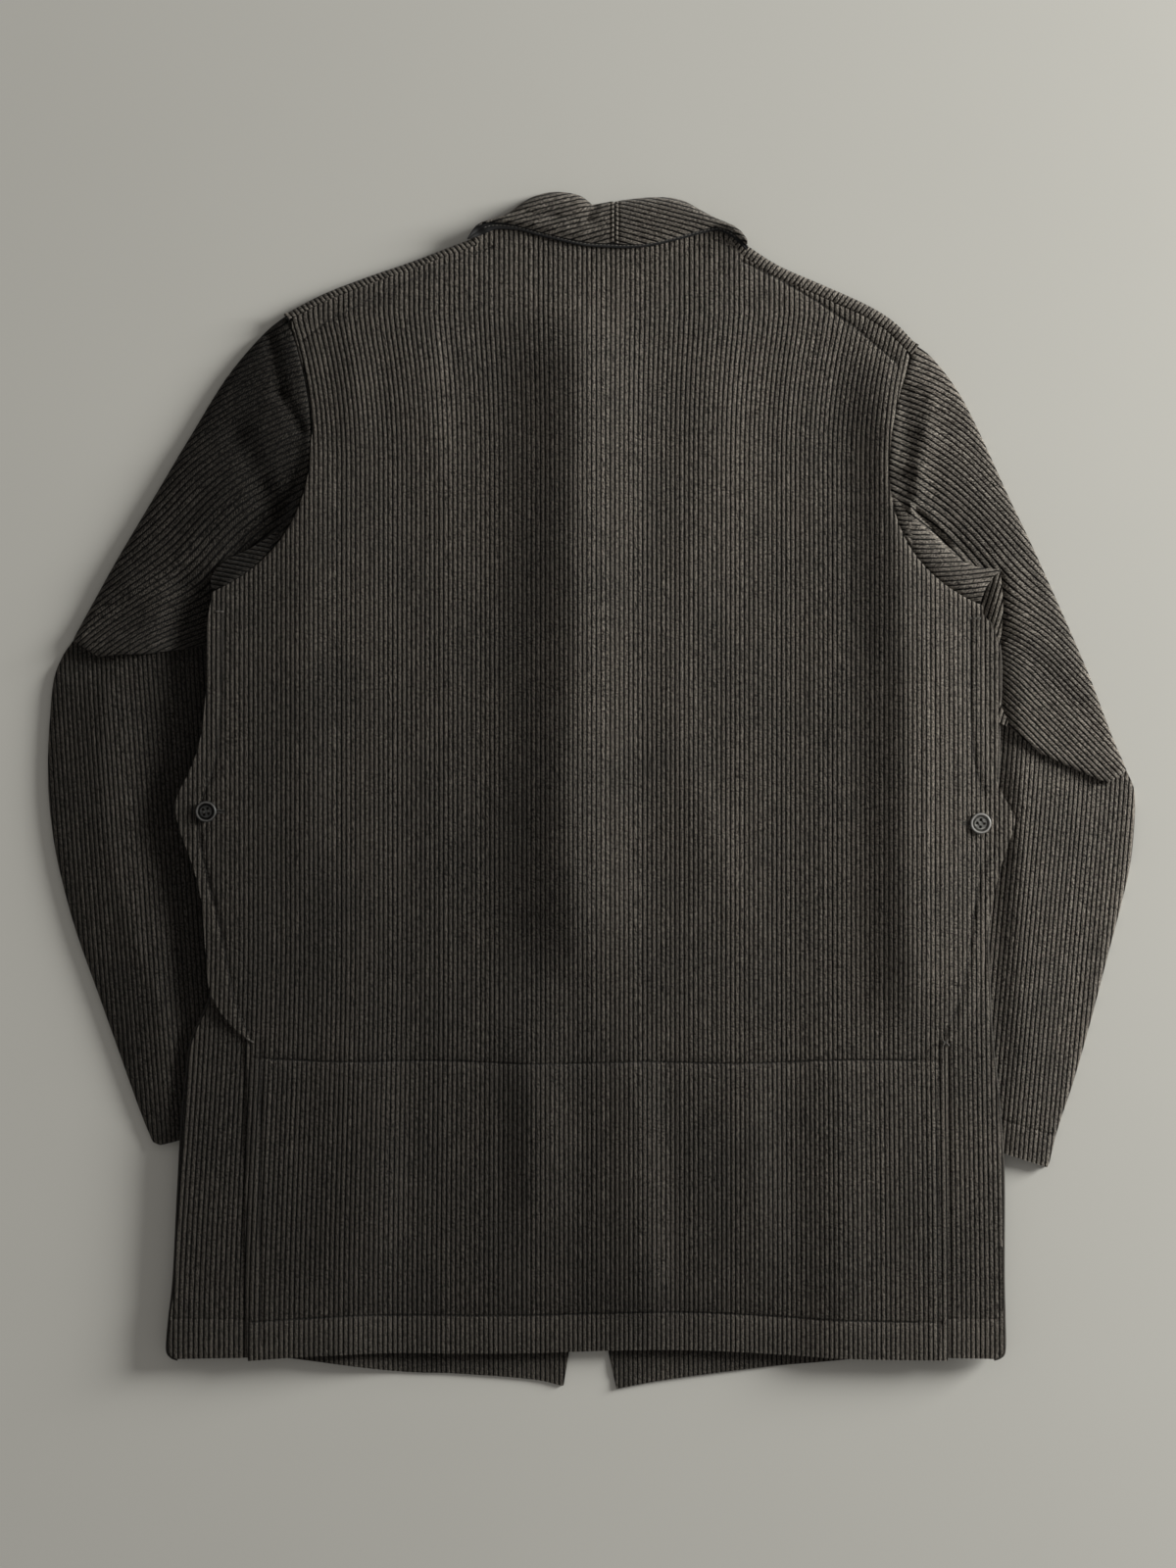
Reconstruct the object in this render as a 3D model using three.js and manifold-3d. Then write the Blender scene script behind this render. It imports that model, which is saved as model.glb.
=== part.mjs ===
// Hunting jacket of corded cloth, laid face down with its back uppermost.
// Millimetres, +Z up, +Y towards the collar, -X on the wearer's left. The origin is on the
// surface, at the middle of the footprint.

import * as THREE from "three";
import { mergeVertices } from "three/addons/utils/BufferGeometryUtils.js";
import Module from "manifold-3d";

const wasm = await Module();
wasm.setup();

// Cloth
const CLOTH = 1.9;
const CORD_RISE = 0.5;
const CORD_PITCH = 3.3;
const LAYER_GAP = 0.6;
const SEAM_GAP = 0.3;
const SLIVER = 0.05;
const ARMHOLE_SPARE = 4;

// Heights of the layers, each above the one below it
const OVER_LAPELS = CLOTH + LAYER_GAP;
const SLEEVE_FLAT = 3 * CLOTH + CORD_RISE;
const OVER_SLEEVES = SLEEVE_FLAT + LAYER_GAP;
const MIDDLE_LAYER = CLOTH + LAYER_GAP;
const BACK_LAYER = 2 * MIDDLE_LAYER + CORD_RISE;
const BACK_CRESTS = BACK_LAYER + CLOTH + CORD_RISE;

// Where the body climbs from the surface onto the lapels and the sleeves
const LAPEL_CLIMB = { start: 20, length: 130 };
const SLEEVE_CLIMB = { start: 130, length: 60 };
const UNDERARM_CLIMB = { start: 150, length: 140 };

// Lines across the back
const POUCH_BOTTOM = -192;
const SLIT_TOP = -180;
const HEM_MIDDLE = -401;
const HEM_DROP = 6;
const SIDE_SEAM = 232;

// The cords spread towards the shoulders and, a little, towards the hem
const SHOULDER_FAN = { start: 235, length: 100, reach: 16, at: 205, power: 1.3 };
const HEM_FAN = { start: -100, length: 300, at: 247, left: 11, right: 2.6 };

// Columns of a ribbed face are half a cord apart. A plain face under it keeps every sixth, and
// a plain sheet has fine steps beyond the armholes and takes every third of them elsewhere.
const HALF_CORD = CORD_PITCH / 2;
const PLAIN_STEP = 6;
const PLAIN_SHARE = 3;
const HIDDEN_STEP = 8;
const FINE_STEP = 4.6;
const ARMHOLE_ZONE = 188;

const COLOURS = { cloth: 0x3a3632, under: 0x2b2825, binding: 0x131314, button: 0x1b1a1a };

const table = (names, rows) =>
  rows.map((row) => Object.fromEntries(names.map((name, i) => [name, row[i]])));
const clamp01 = (t) => Math.min(1, Math.max(0, t));
const ease = (t) => clamp01(t) ** 2 * (3 - 2 * clamp01(t));
const mix = (a, b, t) => a + (b - a) * t;
const point = ({ x, y }) => new THREE.Vector2(x, y);

// Outlines traced by eye from the garment, in its own millimetres

const FLAP_LEFT = table(["x", "y"], [
  [-270, 141], [-274, 112], [-274, 74], [-278, 37], [-286, 13], [-295, -5], [-296, -15],
  [-292, -31], [-284, -53], [-278, -76], [-275, -108], [-273, -136], [-267, -153], [-257, -167],
  [-245, -178],
]);
const FLAP_RIGHT = table(["x", "y"], [
  [279, 131], [280, 112], [280, 84], [282, 49], [285, 19], [292, -1], [300, -16], [302, -23],
  [299, -34], [292, -54], [286, -79], [282, -100], [280, -122], [276, -146], [270, -165],
  [259, -178],
]);
const ARMHOLE = {
  left: { shoulder: [-218, 340], bend: [-165, 190], underarm: [-268, 142] },
  right: { shoulder: [232, 319], bend: [175, 175], underarm: [277, 132] },
};
const SHOULDER_EDGE = {
  left: table(["x", "y"], [[-86, 393], [-97, 389], [-128, 377], [-160, 366], [-191, 354], [-216, 341]]),
  right: table(["x", "y"], [[112, 388], [134, 374], [166, 360], [197, 346], [216, 334], [230, 320]]),
};
const SHOULDER_LIP = { left: 5, right: 8 };
const NECKLINE = table(["x", "y"], [
  [-82, 388], [-78, 397], [-66, 400], [-45, 401], [-20, 399], [15, 396], [50, 398], [75, 400],
  [95, 398], [103, 388],
]);
const BODY_SIDE = {
  left: table(["x", "y"], [[-302, -405], [-297, -349], [-294, -290], [-291, -235], [-288, -205],
    [-284, -178], [-271, -148], [-265, -110], [-264, -66], [-264, 140]]),
  right: table(["x", "y"], [[294, -405], [293, -346], [293, -276], [291, -240], [288, -205],
    [285, -180], [283, -143], [282, -101], [286, -50], [290, 40], [290, 104], [275, 131]]),
};
const FRONT_HEM = {
  left: table(["x", "y"], [[-302, -405], [-226, -405], [-142, -416], [-97, -418], [-44, -422], [-20, -427]]),
  right: table(["x", "y"], [[294, -405], [208, -405], [155, -410], [102, -416], [50, -423], [18, -429.8]]),
};
const FRONT_EDGE = {
  left: table(["x", "y"], [[-13, -402], [-13, 158], [-40, 250], [-68, 330], [-82, 384]]),
  right: table(["x", "y"], [[10, -402], [10, 158], [46, 250], [84, 330], [106, 380]]),
};
const LAPEL = {
  left: table(["x", "y"], [[-12, 152], [-44, 250], [-68, 325], [-70, 380], [-58, 402], [-36, 412],
    [-30, 424], [-42, 423], [-56, 413.5], [-74, 404.5], [-81, 399], [-97, 374], [-112, 330],
    [-104, 270], [-70, 205], [-32, 165]]),
  right: table(["x", "y"], [[8, 152], [50, 250], [86, 325], [88, 376], [76, 402], [56, 410],
    [50, 420], [62, 420.5], [77, 413], [91, 405], [103, 396], [122, 368], [134, 325],
    [124, 265], [86, 205], [30, 165]]),
};

// The collar behind the neck: its roll line and the free edge of its fall
const COLLAR_LINES = {
  left: table(["x", "edge", "roll"], [
    [16, 388, 420.5], [1.8, 388.4, 418], [-8, 390, 424.6], [-20, 391.5, 427.8], [-30, 394, 428.2],
    [-40, 397, 426.5], [-56, 401, 416], [-74, 402.6, 407]]),
  right: table(["x", "edge", "roll"], [
    [17, 388, 421], [30, 388.2, 423.3], [45, 390, 424], [57, 392.5, 423.9], [68, 396, 421.5],
    [77, 398.5, 415.8], [91, 401, 407]]),
};
const COLLAR_PROFILE = table(["share", "height"], [
  [0, 12.6], [0.25, 13.3], [0.5, 12.4], [0.7, 10.4], [0.88, 7.6], [1, 3.6],
]);
const COLLAR_OPEN = { left: [-66, 18], right: [15, 84] };
const COLLAR_CORD_ANGLE = { left: 15, right: 165 };
const BINDING = { width: 2, height: 1.4 };

// Sleeves: outer and inner edges from the armhole to the cuff, the lip of cloth that the upper
// arm folds over the forearm, and the roof of the hollow inside
const SLEEVES = {
  left: {
    outer: table(["x", "y"], [[-235, 326], [-261, 295], [-287, 253], [-312, 211], [-337, 169],
      [-355, 137], [-371, 107], [-379, 95], [-385, 78], [-388, 46], [-389.4, 16], [-388, -12],
      [-384, -42], [-377, -73], [-368, -104], [-353, -146], [-338, -188], [-323, -230], [-314, -252]]),
    upperRows: 8,
    lip: table(["x", "y"], [[-352, 95], [-317, 97], [-289, 101], [-270, 106], [-262, 110]]),
    inner: table(["x", "y"], [[-240, 104], [-224, 52], [-213, -20], [-205, -90], [-198, -160], [-191, -212]]),
    cuff: table(["x", "y"], [[-308, -254], [-292, -250]]),
    upperAngle: 42,
    foreAngle: 95,
    stations: table(["outerX", "outerY", "innerX", "innerY", "roof"], [
      [-262, 288, -262, 128, 5.8], [-290, 241, -254, 124, 5.8], [-332, 170, -246, 116, 5.8],
      [-367, 108, -244, 106, 5.6], [-376, 84, -236, 86, 3.7], [-384, 40, -222, 34, 5],
      [-384, -20, -211, -26, 5], [-368, -92, -202, -96, 5], [-340, -168, -195, -160, 4.6],
      [-316, -234, -189, -196, 4.2], [-310, -262, -182, -222, 4.2]]),
  },
  right: {
    outer: table(["x", "y"], [[245, 308], [263, 284], [279, 253], [298, 211], [318, 169], [337, 127],
      [355, 85], [371, 43], [383, 14], [388.6, 0], [389.5, -20], [386, -52], [379, -83], [368, -125],
      [357, -167], [345, -209], [334, -242], [328, -266]]),
    upperRows: 10,
    lip: table(["x", "y"], [[369, 5], [345, 15], [319, 27], [299, 45], [293, 60], [284, 78]]),
    inner: table(["x", "y"], [[246, 84], [232, 40], [222, -20], [213, -90], [207, -160], [204, -230]]),
    cuff: table(["x", "y"], [[326, -270], [292, -259]]),
    upperAngle: 134,
    foreAngle: 85,
    stations: table(["outerX", "outerY", "innerX", "innerY", "roof"], [
      [272, 256, 270, 122, 5.8], [296, 206, 262, 118, 5.8], [330, 132, 256, 112, 5.8],
      [364, 48, 252, 100, 5.8], [377, 18, 250, 82, 5.6], [383, -6, 244, 60, 3.7],
      [382, -44, 228, 0, 5], [366, -112, 219, -70, 5], [346, -184, 211, -140, 4.6],
      [329, -246, 208, -206, 4.2], [326, -280, 202, -242, 4.2]]),
  },
};
const BODY_REACH = 290;
const HIDDEN_WITHIN = 245;
const LIP_TUCK = 12;
const UPPER_PUFF = 2.5;
const FORE_PUFF = 1.6;
const EDGE_ROUND = { drop: 2.4, width: 6 };
const LIP_ROUND = { drop: 0.9, width: 6 };

// Creases in the cloth: troughs where depth is positive, ridges where it is negative
const CREASE_COLUMNS = ["fromX", "fromY", "toX", "toY", "width", "depth"];
const SLEEVE_CREASES = table(CREASE_COLUMNS, [
  [226, 214, 256, 168, 5, 1.6], [262, 170, 290, 156, 6, -0.8], [214, 256, 232, 236, 6, 0.9],
  [318, 150, 350, 110, 12, 0.5], [300, 96, 330, 60, 9, 0.6], [-214, 240, -250, 196, 7, 0.8],
  [-212, 262, -262, 238, 8, 0.6], [-300, 150, -332, 116, 9, 0.6], [-262, 170, -300, 146, 7, 0.7],
]);
const BACK_FOLDS = table(["x", "width", "rise", "fromY", "toY"], [
  [-2, 26, 1, -110, 340], [-118, 34, 0.6, -60, 250], [132, 36, 0.6, -90, 260], [-196, 20, 0.5, -140, 170],
  [204, 20, 0.5, -150, 150],
]);

// Buttons on the pouch flaps
const BUTTON = { radius: 7.5, height: 3, hole: 0.9, holeSpread: 1.8 };
const BUTTON_PLACES = { left: [-274, -15.4], right: [277, -23.8] };
const BUTTON_PROFILE = table(["radius", "height"], [
  [0, 0], [6.2, 0], [7.2, 0.6], [7.5, 1.5], [7.1, 2.6], [6.2, 3], [5.3, 2.6], [4.6, 1.9], [0, 1.7],
]);

function bodyRise(x, y) {
  const lapels = OVER_LAPELS * ease((y - LAPEL_CLIMB.start) / LAPEL_CLIMB.length);
  const across = ease((Math.abs(x) - SLEEVE_CLIMB.start) / SLEEVE_CLIMB.length);
  const below = 1 - ease((y - UNDERARM_CLIMB.start) / UNDERARM_CLIMB.length);
  return lapels + (OVER_SLEEVES - lapels) * across * below;
}

function backFolds(x, y) {
  return BACK_FOLDS.reduce((sum, fold) => {
    const ends = ease((y - fold.fromY) / 80) * ease((fold.toY - y) / 80);
    return sum + fold.rise * ends * Math.exp(-(((x - fold.x) / fold.width) ** 2));
  }, 0);
}

function distanceToSegment(x, y, ax, ay, bx, by) {
  const length2 = (bx - ax) ** 2 + (by - ay) ** 2;
  const t = clamp01(((x - ax) * (bx - ax) + (y - ay) * (by - ay)) / length2);
  return Math.hypot(x - mix(ax, bx, t), y - mix(ay, by, t));
}

function distanceToPath(x, y, path) {
  let least = Infinity;
  for (let i = 1; i < path.length; i += 1) {
    const [a, b] = [path[i - 1], path[i]];
    least = Math.min(least, distanceToSegment(x, y, a.x, a.y, b.x, b.y));
  }
  return least;
}

function creaseDepth(x, y) {
  return SLEEVE_CREASES.reduce((sum, crease) => {
    const d = distanceToSegment(x, y, crease.fromX, crease.fromY, crease.toX, crease.toY);
    return sum + crease.depth * Math.exp(-((d / crease.width) ** 2));
  }, 0);
}

// Closed meshes and their booleans

function solidFromFaces(vertices, faces) {
  let volume = 0;
  for (const [a, b, c] of faces) {
    volume += vertices[a].dot(new THREE.Vector3().crossVectors(vertices[b], vertices[c]));
  }
  const outward = volume > 0 ? faces : faces.map(([a, b, c]) => [a, c, b]);
  return new wasm.Manifold(new wasm.Mesh({
    numProp: 3,
    vertProperties: new Float32Array(vertices.flatMap((v) => [v.x, v.y, v.z])),
    triVerts: new Uint32Array(outward.flat()),
  }));
}

function solidFromGeometry(geometry) {
  geometry.deleteAttribute("normal");
  geometry.deleteAttribute("uv");
  const merged = mergeVertices(geometry, 1e-4);
  return new wasm.Manifold(new wasm.Mesh({
    numProp: 3,
    vertProperties: new Float32Array(merged.attributes.position.array),
    triVerts: new Uint32Array(merged.index.array),
  }));
}

function meshOf(name, solid, colour, roughness) {
  const { vertProperties, triVerts } = solid.simplify(SLIVER).getMesh();
  const geometry = new THREE.BufferGeometry();
  geometry.setAttribute("position", new THREE.BufferAttribute(new Float32Array(vertProperties), 3));
  geometry.setIndex(new THREE.BufferAttribute(new Uint32Array(triVerts), 1));
  geometry.computeVertexNormals();
  const material = new THREE.MeshStandardMaterial({ color: colour, roughness, metalness: 0 });
  const mesh = new THREE.Mesh(geometry, material);
  mesh.name = name;
  return mesh;
}

// A closed loop of points is carried through stations, and both ends are capped
function loft(sections) {
  const count = sections[0].length;
  const vertices = sections.flat();
  const faces = [];
  for (let s = 0; s + 1 < sections.length; s += 1) {
    for (let i = 0; i < count; i += 1) {
      const next = (i + 1) % count;
      const [a, b, c, d] = [s * count + i, s * count + next, (s + 1) * count + next, (s + 1) * count + i];
      faces.push([a, b, c], [a, c, d]);
    }
  }
  const last = (sections.length - 1) * count;
  for (const [a, b, c] of capFaces(sections[0])) {
    faces.push([a, c, b]);
  }
  for (const [a, b, c] of capFaces(sections.at(-1))) {
    faces.push([last + a, last + b, last + c]);
  }
  return solidFromFaces(vertices, faces);
}

// Faces of a loop in the vertical plane that it lies in, turning the way the loop turns
function capFaces(loop) {
  const spanX = Math.max(...loop.map((p) => p.x)) - Math.min(...loop.map((p) => p.x));
  const spanY = Math.max(...loop.map((p) => p.y)) - Math.min(...loop.map((p) => p.y));
  const flat = loop.map((p) => new THREE.Vector2(spanX > spanY ? p.x : p.y, p.z));
  const faces = THREE.ShapeUtils.triangulateShape(flat, []);
  const faceArea = THREE.ShapeUtils.area(faces[0].map((i) => flat[i]));
  const sameTurn = faceArea * THREE.ShapeUtils.area(flat) > 0;
  return sameTurn ? faces : faces.map(([a, b, c]) => [a, c, b]);
}

// Sheets: columns of points run along the cords and end on an outline

function crossings(outline, across) {
  const found = [];
  for (let i = 0; i < outline.length; i += 1) {
    const [a, b] = [outline[i], outline[(i + 1) % outline.length]];
    if ((a.x < across) !== (b.x < across)) {
      found.push(mix(a.y, b.y, (across - a.x) / (b.x - a.x)));
    }
  }
  return found.sort((p, q) => p - q);
}

// Places of the columns across the cords, crests and grooves by turns. Where the sheet is hidden
// under another, only a few crests are kept.
function cordPlaces(outline, hiddenWithin = 0) {
  const xs = outline.map((p) => p.x);
  const first = Math.ceil((Math.min(...xs) + 0.4) / HALF_CORD);
  const last = Math.floor((Math.max(...xs) - 0.4) / HALF_CORD);
  const places = [];
  for (let i = first; i <= last; i += 1) {
    const at = i * HALF_CORD;
    if (Math.abs(at) > hiddenWithin || i % HIDDEN_STEP === 0 || i === first || i === last) {
      places.push({ at, crest: i % 2 === 0 ? 1 : 0 });
    }
  }
  return places;
}

// Places of the columns of a plain sheet: close together only beyond the armholes
function plainPlaces(outline, fineBeyond = Infinity) {
  const xs = outline.map((p) => p.x);
  const [least, most] = [Math.min(...xs) + 0.4, Math.max(...xs) - 0.4];
  const places = [{ at: least, crest: 1 }];
  for (let at = Math.ceil((least + 1) / FINE_STEP) * FINE_STEP; at < most - 1; at += FINE_STEP) {
    if (Math.abs(at) > fineBeyond || Math.round(at / FINE_STEP) % PLAIN_SHARE === 0) {
      places.push({ at, crest: 1 });
    }
  }
  return [...places, { at: most, crest: 1 }];
}

// Sheet columns in pattern coordinates: x across the cords and y along them
function sheetColumns(outline, places, rowsBetween) {
  const columns = [];
  for (const { at, crest } of places) {
    const [low, high] = crossings(outline, at);
    if (high - low > 2) {
      columns.push({ crest, points: rowsBetween(low, high).map((y) => ({ x: at, y })) });
    }
  }
  return columns;
}

// Faces between a line of many points and a line of few, which share their ends
function stitch(many, few, faces) {
  let i = 0;
  let k = 0;
  while (i < many.length - 1 || k < few.length - 1) {
    const alongMany = (i + 0.5) / (many.length - 1);
    const alongFew = (k + 0.5) / (few.length - 1);
    if (k === few.length - 1 || (i < many.length - 1 && alongMany <= alongFew)) {
      faces.push([many[i], many[i + 1], few[k]]);
      i += 1;
    } else {
      faces.push([few[k], many[i], few[k + 1]]);
      k += 1;
    }
  }
}

// A sheet with cords on its upper face and a plain, coarser under face
function sheet({ columns, place, top, under, cords = CORD_RISE, plainStep = PLAIN_STEP }) {
  const rows = columns[0].points.length;
  const plain = columns.map((_, c) => c).filter((c) => c % plainStep === 0 || c === columns.length - 1);
  const vertices = [];
  const faces = [];
  const addLine = (column, height) => column.points.map((p) => {
    const at = place(p);
    vertices.push(new THREE.Vector3(at.x, at.y, height(at.x, at.y)));
    return vertices.length - 1;
  });
  const upper = columns.map((column) => addLine(column, (x, y) => top(x, y) - cords * (1 - column.crest)));
  const lower = plain.map((c) => addLine(columns[c], under));
  const skin = (grid, flip) => {
    for (let c = 0; c + 1 < grid.length; c += 1) {
      for (let r = 0; r + 1 < rows; r += 1) {
        const [a, b, d, e] = [grid[c][r], grid[c + 1][r], grid[c + 1][r + 1], grid[c][r + 1]];
        faces.push(...(flip ? [[a, d, b], [a, e, d]] : [[a, b, d], [a, d, e]]));
      }
    }
  };
  skin(upper, false);
  skin(lower, true);
  const ends = [];
  stitch(upper.map((line) => line[0]), lower.map((line) => line[0]), ends);
  faces.push(...ends.map(([a, b, c]) => [b, a, c]));
  stitch(upper.map((line) => line[rows - 1]), lower.map((line) => line[rows - 1]), faces);
  for (const [line, below, flip] of [[upper[0], lower[0], true], [upper.at(-1), lower.at(-1), false]]) {
    for (let r = 0; r + 1 < rows; r += 1) {
      const quad = [[line[r], below[r], below[r + 1]], [line[r], below[r + 1], line[r + 1]]];
      faces.push(...quad.map(([a, b, c]) => (flip ? [a, c, b] : [a, b, c])));
    }
  }
  return solidFromFaces(vertices, faces);
}

// Pattern coordinates of the body: the fans take a point sideways, and are undone for outlines
function fan(x, y) {
  const side = Math.sign(x);
  const top = clamp01((y - SHOULDER_FAN.start) / SHOULDER_FAN.length) ** 2;
  const upper = SHOULDER_FAN.reach * top * (Math.abs(x) / SHOULDER_FAN.at) ** SHOULDER_FAN.power;
  const reach = side < 0 ? HEM_FAN.left : HEM_FAN.right;
  const lower = reach * ease((HEM_FAN.start - y) / HEM_FAN.length) * (x / HEM_FAN.at) ** 2;
  return side * (upper + lower);
}

const fanned = (p) => ({ x: p.x + fan(p.x, p.y), y: p.y });

function unfanned(p) {
  let x = p.x;
  for (let turn = 0; turn < 12; turn += 1) {
    x = p.x - fan(x, p.y);
  }
  return { x, y: p.y };
}

function armholeCurve(side, shift = 0) {
  const { shoulder, bend, underarm } = ARMHOLE[side];
  const out = (side === "left" ? -1 : 1) * shift;
  const [a, b, c] = [shoulder, bend, underarm].map(([x, y]) => new THREE.Vector2(x + out, y + shift));
  return new THREE.QuadraticBezierCurve(a, b, c).getPoints(24);
}

// Everything on the sleeve's side of an armhole, to be taken off the body's layers
function beyondArmhole(side) {
  const sign = side === "left" ? -1 : 1;
  const curve = armholeCurve(side).filter((_, i) => i % 2 === 0);
  const { shoulder, underarm } = ARMHOLE[side];
  const outline = [
    ...curve, { x: underarm[0] + sign * 30, y: underarm[1] + 20 }, { x: shoulder[0] + sign * 30, y: shoulder[1] },
  ];
  return loftLevels(outline, [-1, 30]);
}

function loftLevels(outline, levels) {
  const vertices = levels.flatMap((z) => outline.map((p) => new THREE.Vector3(p.x, p.y, z)));
  const count = outline.length;
  const flat = outline.map(point);
  const caps = THREE.ShapeUtils.triangulateShape(flat, []);
  const sameTurn = THREE.ShapeUtils.area(caps[0].map((i) => flat[i])) * THREE.ShapeUtils.area(flat) > 0;
  const top = sameTurn ? caps : caps.map(([a, b, c]) => [a, c, b]);
  const faces = outline.flatMap((_, i) => {
    const next = (i + 1) % count;
    return [[i, next, count + next], [i, count + next, count + i]];
  });
  faces.push(...top.map(([a, b, c]) => [a, c, b]), ...top.map((face) => face.map((i) => i + count)));
  return solidFromFaces(vertices, faces);
}

const smoothed = (rows, count) => new THREE.SplineCurve(rows.map(point)).getPoints(count);

// Unit vectors to the left of a path's direction, one at each of its points
function leftwards(path) {
  return path.map((_, i) => {
    const before = path[Math.max(0, i - 1)];
    const after = path[Math.min(path.length - 1, i + 1)];
    return new THREE.Vector2(before.y - after.y, after.x - before.x).normalize();
  });
}

// The shoulder seam of the back, inside the shoulder's edge by the width of the front's lip
function shoulderSeam(side) {
  const inward = (side === "left" ? 1 : -1) * (SHOULDER_LIP[side] + 2 * SEAM_GAP);
  const normals = leftwards(SHOULDER_EDGE[side]);
  return SHOULDER_EDGE[side].map((p, i) => ({ x: p.x + normals[i].x * inward, y: p.y + normals[i].y * inward }));
}

// The back's outline above the underarms, from the left underarm to the right one
function upperBack() {
  const left = armholeCurve("left", ARMHOLE_SPARE).reverse().slice(0, -1);
  const right = armholeCurve("right", ARMHOLE_SPARE).slice(1);
  return [
    ...left.filter((p) => p.y < 330), ...shoulderSeam("left").reverse(), ...NECKLINE,
    ...shoulderSeam("right"), ...right.filter((p) => p.y < 308),
  ];
}

function hemLine(x) {
  return { x, y: HEM_MIDDLE - HEM_DROP * (x / 250) ** 2 };
}

function backOutline() {
  const leftEdge = unfanned({ x: -245, y: SLIT_TOP }).x;
  const rightEdge = unfanned({ x: 253, y: SLIT_TOP }).x;
  const upper = upperBack().map(unfanned);
  const flapRight = smoothed(FLAP_RIGHT, 30).map(unfanned);
  const flapLeft = smoothed(FLAP_LEFT, 30).map(unfanned);
  const hem = [rightEdge, 200, 130, 0, -130, -200, leftEdge].map(hemLine);
  return [
    ...upper, ...flapRight, { x: rightEdge, y: SLIT_TOP }, ...hem, { x: leftEdge, y: SLIT_TOP },
    ...flapLeft.reverse(),
  ];
}

const BACK_LEVELS = [POUCH_BOTTOM, LAPEL_CLIMB.start, UNDERARM_CLIMB.start];
const aboveUnderarm = (high) => [1 / 3, 2 / 3, 1].map((t) => mix(UNDERARM_CLIMB.start, high, t));

function bodyRows(low, high) {
  if (low > SLIT_TOP - 20 || high < UNDERARM_CLIMB.start + 8) {
    return [0, 1, 2, 3, 4, 5, 6].map((i) => mix(low, high, i / 6));
  }
  return [low, ...BACK_LEVELS, ...aboveUnderarm(high)];
}

const cutArmholes = (solid) => solid.subtract(beyondArmhole("left")).subtract(beyondArmhole("right"));

function makeBack() {
  const outline = backOutline();
  const solid = sheet({
    columns: sheetColumns(outline, cordPlaces(outline), bodyRows),
    place: fanned,
    top: (x, y) => bodyRise(x, y) + BACK_CRESTS + backFolds(x, y),
    under: (x, y) => bodyRise(x, y) + BACK_LAYER + backFolds(x, y),
  });
  return meshOf("back", cutArmholes(solid), COLOURS.cloth, 0.95);
}

function makeInnerBack() {
  const inner = upperBack().filter((p) => Math.abs(p.x) < SIDE_SEAM)
    .map((p) => ({ x: p.x * 0.998, y: p.y - 1 }));
  const edge = SIDE_SEAM - SEAM_GAP;
  const outline = [
    ...inner.map(unfanned), { x: edge, y: 154 }, { x: edge, y: POUCH_BOTTOM }, { x: -edge, y: POUCH_BOTTOM },
    { x: -edge, y: 158 },
  ];
  const rows = (low, high) => [low, ...BACK_LEVELS.slice(1), ...aboveUnderarm(high)];
  const solid = sheet({
    columns: sheetColumns(outline, plainPlaces(outline, ARMHOLE_ZONE), rows),
    place: fanned,
    top: (x, y) => bodyRise(x, y) + MIDDLE_LAYER + CLOTH,
    under: (x, y) => bodyRise(x, y) + MIDDLE_LAYER,
    cords: 0,
    plainStep: 1,
  });
  return meshOf("back_inner", cutArmholes(solid), COLOURS.under, 0.95);
}

// A bar of cloth along a fold: its profile is given outward and up from a path
function foldBar(path, outwardSign, profile) {
  const normals = leftwards(path);
  const sections = path.map((p, i) => {
    const outward = normals[i].clone().multiplyScalar(outwardSign);
    const rise = bodyRise(p.x, p.y);
    return profile.map(({ out, up }) =>
      new THREE.Vector3(p.x + outward.x * out, p.y + outward.y * out, rise + up));
  });
  return loft(sections);
}

const SIDE_FOLD = table(["out", "up"], [
  [-2.5, 0.2], [0.3, 0.2], [1.2, 1.3], [1.2, 3.2], [0.3, 4.2], [-2.5, 4.2],
]);

function shoulderFold(side) {
  const lip = -SHOULDER_LIP[side];
  const lipTop = BACK_LAYER + CLOTH;
  return table(["out", "up"], [
    [-2.4, 0.2], [0.3, 0.2], [1.3, 1.8], [1.3, lipTop - 1.6], [0.2, lipTop], [lip, lipTop + 0.3],
    [lip, BACK_LAYER + 0.3], [-2.4, BACK_LAYER],
  ]);
}

function frontOutline(side) {
  return [
    ...FRONT_HEM[side], ...FRONT_EDGE[side], ...SHOULDER_EDGE[side],
    ...armholeCurve(side, ARMHOLE_SPARE).slice(1), ...BODY_SIDE[side].slice(1).reverse(),
  ].map(unfanned);
}

// The part of a front that turns round the side and lies on top of it, up to the side seam
function sideStripOutline(side, sign) {
  const top = side === "left" ? 152 : 146;
  return [
    ...BODY_SIDE[side].map(unfanned), { x: sign * (SIDE_SEAM + 18), y: top },
    { x: sign * SIDE_SEAM, y: top + 6 }, { x: sign * SIDE_SEAM, y: BODY_SIDE[side][0].y },
  ];
}

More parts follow.
